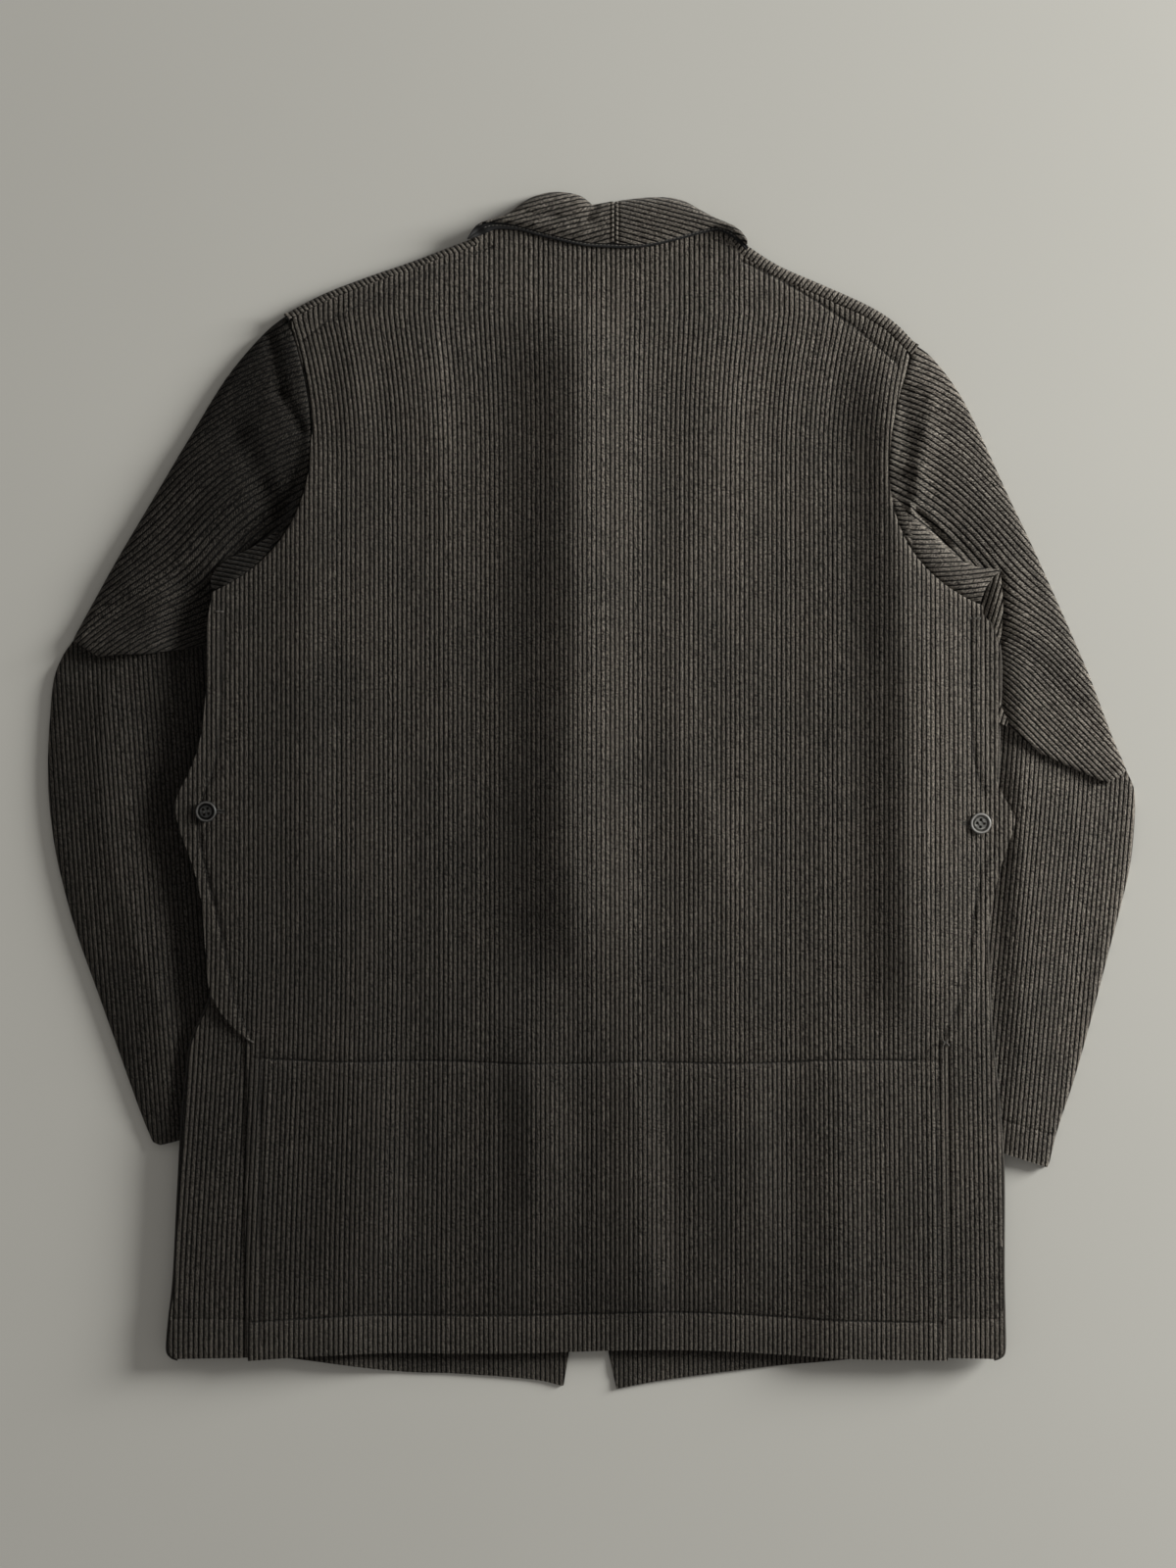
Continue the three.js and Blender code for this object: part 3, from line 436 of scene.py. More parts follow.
def sweep(name, path, section, material):
    """A closed section of (out, up) pairs carried along a path of (x, y, z). Out is to the path's
    right."""
    right = -leftwards(path[:, :2])
    out, up = np.array(section, float).T
    rings = [np.column_stack([x + rx * out, y + ry * out, z + up])
             for (x, y, z), (rx, ry) in zip(path, right)]
    points = np.vstack(rings)
    count = len(section)
    uv = np.column_stack([np.tile(np.arange(count) * 0.37, len(rings)),
                          np.repeat(run_length(path), count) / CORD_PITCH])
    faces = tube_faces(len(rings), count)
    piece = make_mesh(name, points, faces, uv, np.zeros(len(points)), material)
    outward_normals(piece)
    return piece


def outward_normals(piece):
    shape = bmesh.new()
    shape.from_mesh(piece.data)
    bmesh.ops.recalc_face_normals(shape, faces=shape.faces)
    shape.to_mesh(piece.data)
    shape.free()


# Materials


class Nodes:
    """A short way to write a material's node tree."""

    def __init__(self, name):
        self.material = bpy.data.materials.new(name)
        self.material.use_nodes = True
        self.tree = self.material.node_tree
        self.shader = self.tree.nodes["Principled BSDF"]

    def add(self, kind, inputs=None, **settings):
        node = self.tree.nodes.new(kind)
        for key, value in settings.items():
            setattr(node, key, value)
        for key, value in (inputs or {}).items():
            self.put(value, node.inputs[key])
        return node

    def put(self, value, socket):
        if isinstance(value, bpy.types.NodeSocket):
            self.tree.links.new(value, socket)
        else:
            socket.default_value = value

    def math(self, operation, a, b=0.0, c=0.0):
        return self.add("ShaderNodeMath", {0: a, 1: b, 2: c}, operation=operation).outputs[0]

    def between(self, value, low, high, to_low=0.0, to_high=1.0):
        node = self.add("ShaderNodeMapRange", {0: value, 1: low, 2: high, 3: to_low, 4: to_high},
                        interpolation_type="SMOOTHSTEP")
        return node.outputs[0]

    def blend(self, share, a, b, mode="MIX"):
        node = self.add("ShaderNodeMix", {0: share, 6: a, 7: b}, data_type="RGBA", blend_type=mode)
        return node.outputs[2]

    def noise(self, vector, scale, detail=2.0, roughness=0.5):
        node = self.add("ShaderNodeTexNoise", {"Vector": vector, "Scale": scale, "Detail": detail,
                                               "Roughness": roughness})
        return node.outputs["Fac"]

    def place(self):
        return self.add("ShaderNodeTexCoord").outputs["Object"]

    def scaled(self, vector, scale):
        return self.add("ShaderNodeMapping", {"Vector": vector, "Scale": scale}).outputs[0]

    def bump(self, height, distance, strength):
        node = self.add("ShaderNodeBump", {"Height": height, "Distance": distance,
                                           "Strength": strength})
        return node.outputs[0]

    def finish(self, colour, roughness, normal=None):
        self.put(colour, self.shader.inputs["Base Color"])
        self.put(roughness, self.shader.inputs["Roughness"])
        if normal is not None:
            self.put(normal, self.shader.inputs["Normal"])
        return self.material


def rgb(r, g, b):
    return (r, g, b, 1.0)


# Linear colours of the cloth's yarns, and of the grooves between its cords, painted near black as
# painted shade over a dark ground
YARN_DARK = rgb(0.0075, 0.0065, 0.0055)
YARN_WARM = rgb(0.0205, 0.0158, 0.0125)
YARN_COOL = rgb(0.0185, 0.017, 0.0155)
YARN_PALE = rgb(0.46, 0.412, 0.358)
GROOVE_PAINTED_SHADE = rgb(0.0014, 0.0012, 0.001)

# The yarn's turn round its cord, in millimetres, and the rest in cord pitches: the slant and size
# of its strokes, how finely grain and specks repeat, and where a groove ends and a crest begins
YARN_TWIST = 1.9
STROKE_SLANT = 122
STROKE_SIZE = (0.46, 0.14, 1.0)
GRAIN_REPEATS = (6.0, 1.1, 1.0)
SPECK_REPEATS = (8.0, 6.0, 1.0)
GROOVE_EDGE = (0.1, 0.235)


def cloth_material(name, painted_light_levels, span=(-0.5, 0.55), weights=(1.3, 1.0)):
    """Corded cloth: pale and dark yarns twisted on each cord, and grooves between painted near
    black, as painted shade over a dark ground. Its colour is scaled, as painted light and shade,
    from the first level to the second as weights[0] * x + weights[1] * y goes through the span."""
    n = Nodes(name)
    pattern = n.add("ShaderNodeUVMap", uv_map="pattern").outputs[0]
    split = n.add("ShaderNodeSeparateXYZ", {0: pattern})
    u, v = split.outputs[0], split.outputs[1]
    cord = n.math("FLOOR", u)
    each = n.add("ShaderNodeTexWhiteNoise", {"W": cord}, noise_dimensions="1D").outputs["Value"]
    own = n.add("ShaderNodeCombineXYZ", {0: u, 1: v, 2: n.math("MULTIPLY", each, 40.0)}).outputs[0]
    slant = (0, 0, math.radians(STROKE_SLANT))
    slanted = n.add("ShaderNodeMapping", {"Vector": own, "Rotation": slant, "Scale": STROKE_SIZE},
                    vector_type="TEXTURE").outputs[0]
    loose = n.noise(slanted, 1.0, 1.5, 0.55)
    lay = n.math("MULTIPLY_ADD", u, 1.6, n.math("MULTIPLY_ADD", each, 7.0, v))
    twist = n.math("SINE", n.math("MULTIPLY_ADD", lay, 2 * math.pi * CORD_PITCH / YARN_TWIST,
                                  n.math("MULTIPLY", loose, 7.0)))
    strokes = n.math("MULTIPLY_ADD", twist, 0.055, loose)
    grain = n.noise(n.scaled(own, GRAIN_REPEATS), 1.0, 2.0, 0.55)
    speck = n.noise(n.scaled(own, SPECK_REPEATS), 1.0, 1.0)
    place = n.place()
    clouds = n.noise(place, 14.0, 3.0, 0.6)
    patches = n.noise(place, 110.0, 2.0, 0.5)

    from_groove = n.math("PINGPONG", u, 0.5)
    ragged = n.math("MULTIPLY_ADD", n.math("SUBTRACT", strokes, 0.5), 0.14, from_groove)
    crest = n.between(ragged, *GROOVE_EDGE)
    lively = n.between(n.math("MULTIPLY_ADD", each, 0.3, patches), 0.42, 0.85)
    fleck = n.math("MULTIPLY", n.between(strokes, 0.52, 0.63),
                   n.math("MULTIPLY_ADD", lively, 0.2, 0.42))
    pit = n.math("MULTIPLY", n.between(strokes, 0.48, 0.38),
                 n.math("MULTIPLY_ADD", lively, 0.3, 0.45))
    body = n.blend(n.between(clouds, 0.36, 0.62), YARN_COOL, YARN_WARM)
    body = n.blend(n.between(grain, 0.38, 0.7, 0.0, 0.3), body, YARN_PALE)
    body = n.blend(n.between(speck, 0.46, 0.7, 0.0, 0.34), body, YARN_PALE)
    body = n.blend(fleck, body, YARN_PALE)
    body = n.blend(pit, body, YARN_DARK)
    # Pale yarn mixed in at the turned edges and the hem: wear, and painted highlight.
    wear_and_highlight = n.add("ShaderNodeAttribute", attribute_name="wear_and_highlight").outputs["Fac"]
    body = n.blend(n.math("MULTIPLY", wear_and_highlight, 0.2), body, YARN_PALE)
    # Painted light and shade: the colour is scaled from one level to the other along a ramp across
    # the garment.
    where = n.add("ShaderNodeSeparateXYZ", {0: place})
    toward = n.math("MULTIPLY_ADD", where.outputs[0], weights[0],
                    n.math("MULTIPLY", where.outputs[1], weights[1]))
    painted_light_ramp = n.between(toward, *span, *painted_light_levels)
    shade = n.math("MULTIPLY_ADD", clouds, 0.6, n.math("MULTIPLY_ADD", each, 0.1, 0.52))
    shade = n.math("MULTIPLY", shade, painted_light_ramp)
    tones = n.add("ShaderNodeCombineXYZ", {0: shade, 1: shade, 2: shade}).outputs[0]
    body = n.blend(1.0, body, tones, "MULTIPLY")
    # The grooves take a near-black colour: painted shade in the recesses, over the cloth's dark
    # ground.
    colour = n.blend(crest, GROOVE_PAINTED_SHADE, body)

    height = n.math("MULTIPLY_ADD", strokes, 1.2, n.math("MULTIPLY", grain, 0.5))
    n.shader.inputs["Sheen Weight"].default_value = 0.08
    n.shader.inputs["Sheen Roughness"].default_value = 0.5
    n.shader.inputs["Specular IOR Level"].default_value = 0.06
    return n.finish(colour, 1.0, n.bump(height, 0.0007, 0.9))


def tape_material():
    """Dark woven binding with a fine twill and a slight sheen."""
    n = Nodes("binding")
    place = n.place()
    weave = n.add("ShaderNodeTexWave", {"Vector": place, "Scale": 900.0, "Distortion": 2.0},
                  bands_direction="DIAGONAL").outputs["Fac"]
    rub = n.noise(place, 60.0)
    colour = n.blend(n.math("MULTIPLY", weave, n.between(rub, 0.35, 0.7)), rgb(0.006, 0.006, 0.007),
                     rgb(0.026, 0.025, 0.024))
    n.shader.inputs["Specular IOR Level"].default_value = 0.25
    return n.finish(colour, 0.7, n.bump(weave, 0.0001, 0.5))


def thread_material(name, dark, pale):
    """Spun thread, its plies between two shades."""
    n = Nodes(name)
    place = n.place()
    ply = n.noise(place, 1400.0, 2.0)
    colour = n.blend(ply, dark, pale)
    return n.finish(colour, 0.7, n.bump(ply, 0.0001, 0.4))


# Where the paler rim of a button begins and ends, in metres from its middle
RIM_STARTS = (0.0057, 0.0062)
RIM_ENDS = (0.0072, 0.0068)


def horn_material(name, centre, dark, pale, rim):
    """Polished horn with faint streaks, and paler, unevenly, on the raised rim."""
    n = Nodes(name)
    place = n.place()
    streaks = n.noise(n.scaled(place, (120.0, 700.0, 300.0)), 1.0, 3.0)
    rub = n.noise(place, 900.0, 3.0)
    colour = n.blend(n.between(streaks, 0.42, 0.7), dark, pale)
    flat = n.add("ShaderNodeVectorMath", {0: place, 1: (1.0, 1.0, 0.0)}, operation="MULTIPLY")
    middle = (centre[0] * MM, centre[1] * MM, 0.0)
    out = n.add("ShaderNodeVectorMath", {0: flat.outputs[0], 1: middle},
                operation="DISTANCE").outputs["Value"]
    ring = n.math("MULTIPLY", n.between(out, *RIM_STARTS), n.between(out, *RIM_ENDS))
    colour = n.blend(n.math("MULTIPLY", ring, n.between(rub, 0.2, 0.6, 0.5, 1.0)), colour, rim)
    return n.finish(colour, n.between(rub, 0.3, 0.7, 0.38, 0.55), n.bump(rub, 0.00005, 0.3))


def floor_material():
    """Pale, matt and faintly uneven."""
    n = Nodes("pale_floor")
    place = n.place()
    mottle = n.noise(place, 3.0, 3.0)
    colour = n.blend(mottle, rgb(0.47, 0.46, 0.43), rgb(0.5, 0.49, 0.46))
    return n.finish(colour, 0.85)


# The body


def armhole(side, shift=0.0):
    return bezier(ARMHOLE[side]) + np.array([side * shift, shift])


def shoulder_seam(side):
    """The back's shoulder seam, inside the shoulder's edge by the width of the front's lip."""
    inward = -side * (SHOULDER_LIP[side] + 0.3)
    return beside(SHOULDER_EDGE[side], inward)


def hem_line(x):
    return HEM_MIDDLE - 6 * (x / 250) ** 2 + 1.3 * np.sin(x / 38.0)


def pouch_line(x):
    return POUCH_BOTTOM - 3.0 * np.sin((x + 240) / 160.0) + 0.8 * np.sin(x / 23.0)


def upper_back():
    left, right = (armhole(side)[armhole(side)[:, 1] < ARMHOLE_TOP[side]] for side in (-1, 1))
    return np.vstack([
        left[::-1], shoulder_seam(-1)[::-1], smooth_path(NECKLINE, 30), shoulder_seam(1), right,
    ])


def back_outline():
    hem_x = np.linspace(SLIT_EDGE[1] + 1, SLIT_EDGE[-1], 80)
    hem = np.column_stack([hem_x, hem_line(hem_x)])
    return np.vstack([
        upper_back(), smooth_path(FLAP_RIGHT, 60), [(SLIT_EDGE[1], SLIT_TOP)], hem,
        [(SLIT_EDGE[-1], SLIT_TOP)], smooth_path(FLAP_LEFT, 60)[::-1],
    ])


def across_line(function, low, high, count=60):
    x = np.linspace(low, high, count)
    return np.column_stack([x, function(x)])


# Stitched lines of the back
SHOULDER_STITCH = {
    -1: [(-70, 388), (-100, 377), (-130, 364), (-165, 347), (-190, 334), (-207, 320)],
    1: [(106, 378), (120, 371), (140, 361), (165, 346), (190, 329), (219, 303)],
}
FACING_STITCH = {
    -1: [(-262, 126), (-264, 60), (-268, 20), (-276, -2), (-280, -22), (-277, -45), (-270, -75),
         (-265, -95), (-260, -120), (-255, -145), (-246, -170), (-241, -178)],
    1: [(270, 121), (270, 60), (273, 20), (280, -4), (287, -24), (284, -40), (276, -66),
        (271, -100), (267, -130), (260, -155), (253, -170), (248, -178)],
}
VENT_STITCH = {
    -1: [(-235.5, -184), (-236.5, -300), (-235.5, -398)],
    1: [(247.5, -184), (246.2, -260), (248.2, -330), (247, -398)],
}

# How deep and wide each of them sinks: pouch, hem, then shoulder and facing, left and right
STITCH_DEPTHS = ((1.9, 1.0), (1.8, 1.0), (1.6, 1.2), (0.5, 0.9), (1.4, 1.1), (0.5, 0.9))


def back_creases():
    hem_stitch = across_line(lambda x: hem_line(x) + HEM_STITCH, -243, 251)
    lines = [across_line(pouch_line, -241, 250), hem_stitch]
    for side in (-1, 1):
        lines += [np.array(SHOULDER_STITCH[side], float), smooth_path(FACING_STITCH[side], 40)]
    return lines


# Broad folds of the back: crest path, rise, width to its left and to its right, crest's rounding
BACK_FOLDS = (
    (((-10, 330), (-11, 250), (-12, 120), (-16, 0), (-14, -110)), 13.5, 33, 34, 4),
    (((208, 296), (214, 240), (222, 150), (224, 40), (226, -40), (226, -150)), 9.5, 21, 38, 4),
    (((236, 110), (238, 0), (239, -100)), 0.8, 3, 3, 1),
    (((247, 112), (249, 10), (252, -90)), 0.8, 3, 3, 1),
    (((258, 108), (261, 0), (259, -70)), 0.7, 3, 3, 1),
    (((-203, 230), (-204, 60), (-206, -60)), 2.4, 24, 12, 4),
    (((-166, 320), (-168, 250)), 2.2, 10, 10, 5),
    (((-118, 330), (-112, 230)), 2.6, 26, 10, 5),
    (((88, 340), (84, 200), (70, 120)), 2.6, 50, 20, 6),
    (((48, 120), (64, 20), (98, -80)), 2.2, 22, 12, 6),
    (((-42, -190), (-40, -300)), 4.6, 14, 20, 5),
    (((31, -200), (34, -290), (42, -370)), 4.8, 36, 12, 5),
    (((-150, -196), (-158, -340)), 3.2, 26, 14, 6),
    (((112, -204), (120, -330)), 3.4, 36, 14, 6),
    (((180, -210), (176, -380)), 1.4, 20, 12, 6),
)

# How far the folds fade past their ends, how they wander, and how far their sides reach
FOLD_FADE = {"past": 40, "over": 70}
FOLD_WANDER = {"by": 1.5, "every": 31}
FOLD_REACH = 1.7
POUCH_BELLY = {"rise": 3.4, "over_lapels": 0.9, "end": 400, "fade": 60}


def back_folds(x, y):
    """The broad folds, each fading at its ends and wandering a little from its path."""
    total = 0 * x
    for path, rise, left, right, rounding in BACK_FOLDS:
        points = np.array(sorted(path, key=lambda p: p[1]), float)
        low, high = points[0, 1], points[-1, 1]
        wander = FOLD_WANDER["by"] * np.sin(y / FOLD_WANDER["every"] + points[0, 0])
        off = x - np.interp(y, points[:, 1], points[:, 0]) - wander
        width = FOLD_REACH * np.where(off < 0, left, right)
        past, over = FOLD_FADE["past"], FOLD_FADE["over"]
        ends = ease((y - low + past) / over) * ease((high + past - y) / over)
        level = np.clip(1 - (np.sqrt(off**2 + rounding**2) - rounding) / width, 0, 1)
        total = total + rise * ends * level**2 * (2 - level)
    return total


def loose_fill(x, y):
    """The pouch's cloth bellies a little between the sides."""
    rise = POUCH_BELLY["rise"] - OVER_LAPELS * climb(y, LAPEL_CLIMB) * POUCH_BELLY["over_lapels"]
    end, fade = POUCH_BELLY["end"], POUCH_BELLY["fade"]
    middle = 1 - climb(np.abs(x), SLEEVE_CLIMB)
    return rise * middle * ease((y + end) / fade) * ease((end - y) / fade)


def back_top(x, y):
    """The back's upper surface: sewn lines sink in, and turned edges stand up beside them."""
    base = body_rise(x, y) + BACK_CRESTS + 0.1 + back_folds(x, y) + loose_fill(x, y)
    for line, (depth, width) in zip(back_creases(), STITCH_DEPTHS):
        base = base - depth * bell(path_distance(x, y, line), width)
    for side in (-1, 1):
        facing = path_distance(x, y, smooth_path(FACING_STITCH[side], 40))
        outside = (side * x > np.interp(y, *facing_columns(side))) * (y > -176) * (y < 135)
        groove = 0.5 + 0.8 * bell(y + 50, 60)
        base = base + outside * FACING_RISE[side] * ease(facing / 3.5) - groove * bell(facing, 1.2)
        base = base - flap_droop(x, y, side)
        base = base - 0.9 * bell(path_distance(x, y, armhole(side)), 1.4)
        vent = path_distance(x, y, VENT_STITCH[side])
        base = base - 0.9 * bell(vent, 1.1) + 0.5 * bell(vent - 4, 3)
        slit = SLIT_EDGE[side] + side
        edge = path_distance(x, y, [(slit, SLIT_TOP - 4), (slit, -410)])
        base = base - edge_drop(edge, 1.3, 2.2)
        roll = path_distance(x, y, beside(armhole(side), side * 4.0))
        base = base + 0.9 * bell(roll, 2.6)
    return base


def facing_columns(side):
    """The facing's stitched line as heights and distances from the middle, lowest first."""
    line = smooth_path(FACING_STITCH[side], 40)[::-1]
    return line[:, 1], np.abs(line[:, 0])


# Where each flap's edge starts to bend, over what width, and how far down
FLAP_DROOP = {-1: (200, 94, -3.6), 1: (250, 44, 1.6)}

# How far each facing stands above the back
FACING_RISE = {-1: 0.5, 1: 0.6}


def flap_droop(x, y, side):
    """The right flap's free edge bends down to what it lies on, and the left one's stands off."""
    start, span, drop = FLAP_DROOP[side]
    out = ease((side * x - start) / span)
    return drop * out * ease((y + 190) / 40) * ease((150 - y) / 50)


def make_back(cloth):
    back = lay_cloth("back_cloth", back_outline(), Pattern(90, body_fan), back_top, cloth, step=17,
                     creases=back_creases())
    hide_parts("back")
    return back


def make_inner_back(cloth):
    inner = upper_back()
    inner = inner[np.abs(inner[:, 0]) < SIDE_SEAM - 4] * 0.998 - np.array([0, 1])
    edge = SIDE_SEAM - 1
    sides = [(edge, 154), (edge, POUCH_BOTTOM), (-edge, POUCH_BOTTOM), (-edge, 158)]
    piece = lay_cloth(
        "inner_back_cloth", np.vstack([inner, sides]), Pattern(90, body_fan),
        lambda x, y: body_rise(x, y) + MIDDLE_LAYER + CLOTH, cloth, thickness=CLOTH - 0.4,
        section=PLAIN_SECTION, rise=0.0, step=20)
    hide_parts("back_inner")
    return piece


def front_outline(side):
    hem = smooth_path(FRONT_HEM[side], 40)
    return np.vstack([
        hem, FRONT_EDGE[side], SHOULDER_EDGE[side], armhole(side)[2:], BODY_SIDE[side][:0:-1],
    ])


# The strip turned round each side, and the lip turned over each shoulder: tops, ends and slant
STRIP_TOP = {-1: 152, 1: 146}
FOLD_TOP = {-1: 138, 1: 122}
LIP_ENDS = {-1: ((-79, 396.5), (-219.5, 338)), 1: ((99, 396.5), (233.5, 317))}
LIP_ANGLE = {-1: 128, 1: 52}


def strip_outline(side):
    top = STRIP_TOP[side]
    seam = side * (SIDE_SEAM + 1)
    return np.vstack([
        smooth_path(BODY_SIDE[side], 70), [(side * (SIDE_SEAM + 18), top), (seam, top + 6)],
        [(seam, BODY_SIDE[side][0][1] + 1)],
    ])


def side_fold_section():
    """The cloth turning over the side: a bulging edge with the cords of the fold on it."""
    turn = np.linspace(-math.pi / 2, math.pi / 2, 22)
    ripple = 0.22 * np.cos(turn * 6)
    out = (1.7 + ripple) * np.cos(turn) + 0.2
    up = 2.55 + (2.5 + ripple) * np.sin(turn)
    return [(-2.4, up[0]), *zip(out, up), (-2.4, up[-1])]


def make_fold(side, cloth):
    path = smooth_path(BODY_SIDE[side], 90)
    path = path[path[:, 1] < FOLD_TOP[side]]
    path = np.column_stack([path, body_rise(path[:, 0], path[:, 1])])
    return sweep(f"fold_{side}", path if side > 0 else path[::-1], side_fold_section(), cloth)


def shoulder_lip_outline(side):
    start, end = LIP_ENDS[side]
    edge = smooth_path([start, *SHOULDER_EDGE[side], end], 36)
    outer = beside(edge, side * 0.6)
    inner = beside(edge, -side * (SHOULDER_LIP[side] - 0.2))
    return np.vstack([outer, inner[::-1]])


def make_shoulder_lip(side, cloth):
    edge = smooth_path(SHOULDER_EDGE[side], 30)
    seam = beside(edge, -side * SHOULDER_LIP[side])
    crest = BACK_LAYER + CLOTH + 0.6

    def top(x, y):
        outer = path_distance(x, y, beside(edge, side * 0.6))
        near_seam = path_distance(x, y, seam)
        rolled = 4.2 * (1 - np.clip(outer / 4.2, 0, 1)) ** 2
        return body_rise(x, y) + crest - rolled - 0.8 * bell(near_seam, 1.0)

    return lay_cloth(
        f"lip_{side}", shoulder_lip_outline(side), Pattern(LIP_ANGLE[side]), top, cloth, step=2.0,
        under=lambda x, y: body_rise(x, y) + 0.8, ends=(0.5, 1.2, 2.2))


def make_front(side, cloth):
    def strip_top(x, y):
        ditch = 1.2 * bell(side * x - abs(SLIT_EDGE[side]) - 1.6, 1.8) * (y < -170)
        hem = bell(y - FRONT_HEM_STITCH, 0.9) * 0.8
        return body_rise(x, y) + MIDDLE_LAYER + CLOTH + CORD_RISE + 1.9 - ditch - hem

    lower = lay_cloth(
        f"lower_{side}", front_outline(side), Pattern(90, body_fan),
        lambda x, y: body_rise(x, y) + CLOTH, cloth, under=body_rise, step=20, rise=0.45,
        section=((0.0, 0.0), (0.25, 0.8), (0.5, 1.0), (0.75, 0.8)))
    hem_stitch = across_line(lambda x: 0 * x + FRONT_HEM_STITCH, *sorted((side * 228, side * 306)))
    strip = lay_cloth(
        f"strip_{side}", strip_outline(side), Pattern(90, body_fan), strip_top, cloth, step=12,
        creases=[hem_stitch])
    name = f"front_{SIDE_NAME[side]}"
    pieces = [lower, strip, make_fold(side, cloth), make_shoulder_lip(side, cloth)]
    front = join(f"{name}_cloth", pieces)
    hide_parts(name)
    return front


# Sleeves: outer edge, the fold at the elbow, inner edge and cuff

SLEEVE_OUTER = {
    -1: [(-218, 340), (-235, 326), (-261, 295), (-287, 253), (-312, 211), (-337, 169), (-355, 137),
         (-371, 107), (-379, 95), (-385, 78), (-388, 46), (-389.2, 16), (-388, -12), (-384, -42),
         (-377, -73), (-368, -104), (-353, -146), (-338, -188), (-323, -230), (-314, -252)],
    1: [(232, 319), (245, 308), (263, 284), (279, 253), (298, 211), (318, 169), (337, 127),
        (355, 85), (371, 43), (383, 14), (388.6, 0), (389, -20), (386, -52), (379, -83),
        (368, -125), (357, -167), (345, -209), (334, -242), (328, -266)],
}

# The row of the outer edge at which the elbow's fold meets it
ELBOW_AT = {-1: 7, 1: 9}
SLEEVE_LIP = {
    -1: [(-371, 107), (-352, 95), (-317, 97), (-289, 101), (-270, 106), (-250, 112), (-238, 118)],
    1: [(383, 14), (369, 5), (345, 15), (319, 27), (299, 45), (293, 60), (291, 84), (293, 118),
        (292, 157)],
}
SLEEVE_INNER = {
    -1: [(-228, 118), (-224, 52), (-213, -20), (-205, -90), (-198, -160), (-191, -212)],
    1: [(252, 130), (240, 84), (232, 40), (222, -20), (213, -90), (207, -160), (204, -230)],
}
CUFF = {-1: [(-308, -254), (-292, -250)], 1: [(326, -270), (292, -259)]}
CUFF_STITCH = {-1: [(-323, -234), (-290, -226)], 1: [(336, -249), (288, -234)]}

# On the right the upper arm ends at a folded edge over the gusset and the forearm
UPPER_END_RIGHT = [
    (292, 157), (293, 118), (290, 84), (292, 60), (299, 45), (319, 27), (345, 15), (369, 5),
]

# The cords' slant on each sleeve, and how far and how near the armhole they bend
UPPER_ANGLE = {-1: 43, 1: 135}
FORE_ANGLE = {-1: 94, 1: 85}
HEAD_BEND = {-1: (34, 110), 1: (22, 66)}

# How near the armhole the sleeve rises to it, and how deep the forearm dips at the elbow's fold
HEAD_WIDTH = {-1: 6, 1: 22}

# The swell across each sleeve: distances from its outer edge, and shares. The left falls inwards.
SWELLING = {-1: ((0, 12, 40, 55, 88), (0, 0.35, 1, 0.8, -0.2)), 1: ((0, 85), (0, 1))}

# Where the body's edge lies over the sleeves, and how softly they come clear of it
BODY_OVER = {"x": 288, "y": 138, "width": 22}
ELBOW_SHADOW = {-1: 3.4, 1: 2.2}
EDGE_HEIGHT = 2.4


def sleeve_bend(side):
    """Near the armhole the cords turn towards the seam."""
    reach, width = HEAD_BEND[side]
    turn = math.radians(UPPER_ANGLE[side] - 90)
    down = np.array([math.cos(turn), math.sin(turn)]) * (1 if side < 0 else -1)

    def bend(x, y):
        near = np.clip(1 - path_distance(x, y, armhole(side)) / width, 0, 1) ** 2
        return down[0] * reach * near, down[1] * reach * near

    return bend


# Folds in the sleeves' cloth: from, to, width, depth (a ridge where negative)
SLEEVE_CREASES = {
    -1: (
        ((-231, 330), (-221, 283), 4, 2.6), ((-221, 283), (-208, 258), 4, 3.2),
        ((-252, 254), (-235, 215), 8, 3.4), ((-235, 215), (-221, 199), 7, 3.4),
        ((-226, 200), (-252, 176), 7, 3.0), ((-300, 150), (-332, 116), 9, 0.9),
        ((-262, 170), (-300, 146), 9, 1.2), ((-330, 130), (-376, 98), 4, 0.9),
        ((-246, 236), (-300, 180), 14, 1.2), ((-280, 230), (-330, 150), 16, -1.6),
    ),
    1: (
        ((243, 285), (240, 255), 5, -2.4), ((240, 255), (233, 228), 5, -3.2),
        ((233, 228), (233, 214), 5, -3.4), ((233, 214), (228, 202), 4, -3.2),
        ((228, 202), (226, 176), 4, -2.0), ((224, 285), (225, 240), 5, 1.8),
        ((231.5, 200), (254, 175.5), 2.5, 5.0), ((236, 214), (262, 176), 9, 1.6),
        ((262, 172), (286, 152), 7, 2.2), ((318, 150), (350, 110), 12, 1.0),
        ((300, 96), (330, 60), 9, 1.0), ((262, 234), (300, 180), 16, -1.6),
        ((300, 110), (374, 30), 7, 1.2),
    ),
}


def sleeve_relief(x, y, side):
    total = 0 * x
    for start, end, width, depth in SLEEVE_CREASES[side]:
        total = total + depth * bell(path_distance(x, y, [start, end]), width)
    return total


def clear_of_body(x, y, side):
    """One where nothing lies on the sleeve, and zero under the body."""
    beside_body = ease((side * x - BODY_OVER["x"]) / BODY_OVER["width"])
    return mix(beside_body, 1, ease((y - BODY_OVER["y"]) / BODY_OVER["width"]))


def edge_drop(distance, drop, width):
    """How far a rounded edge falls, all of it at the edge and none past the width."""
    return drop * (1 - np.sqrt(np.clip(1 - (1 - np.clip(distance / width, 0, 1)) ** 2, 0, 1)))


def swelling(away, side):
    """The sleeve's swell by the distance from its outer edge."""
    return np.interp(away, *SWELLING[side])


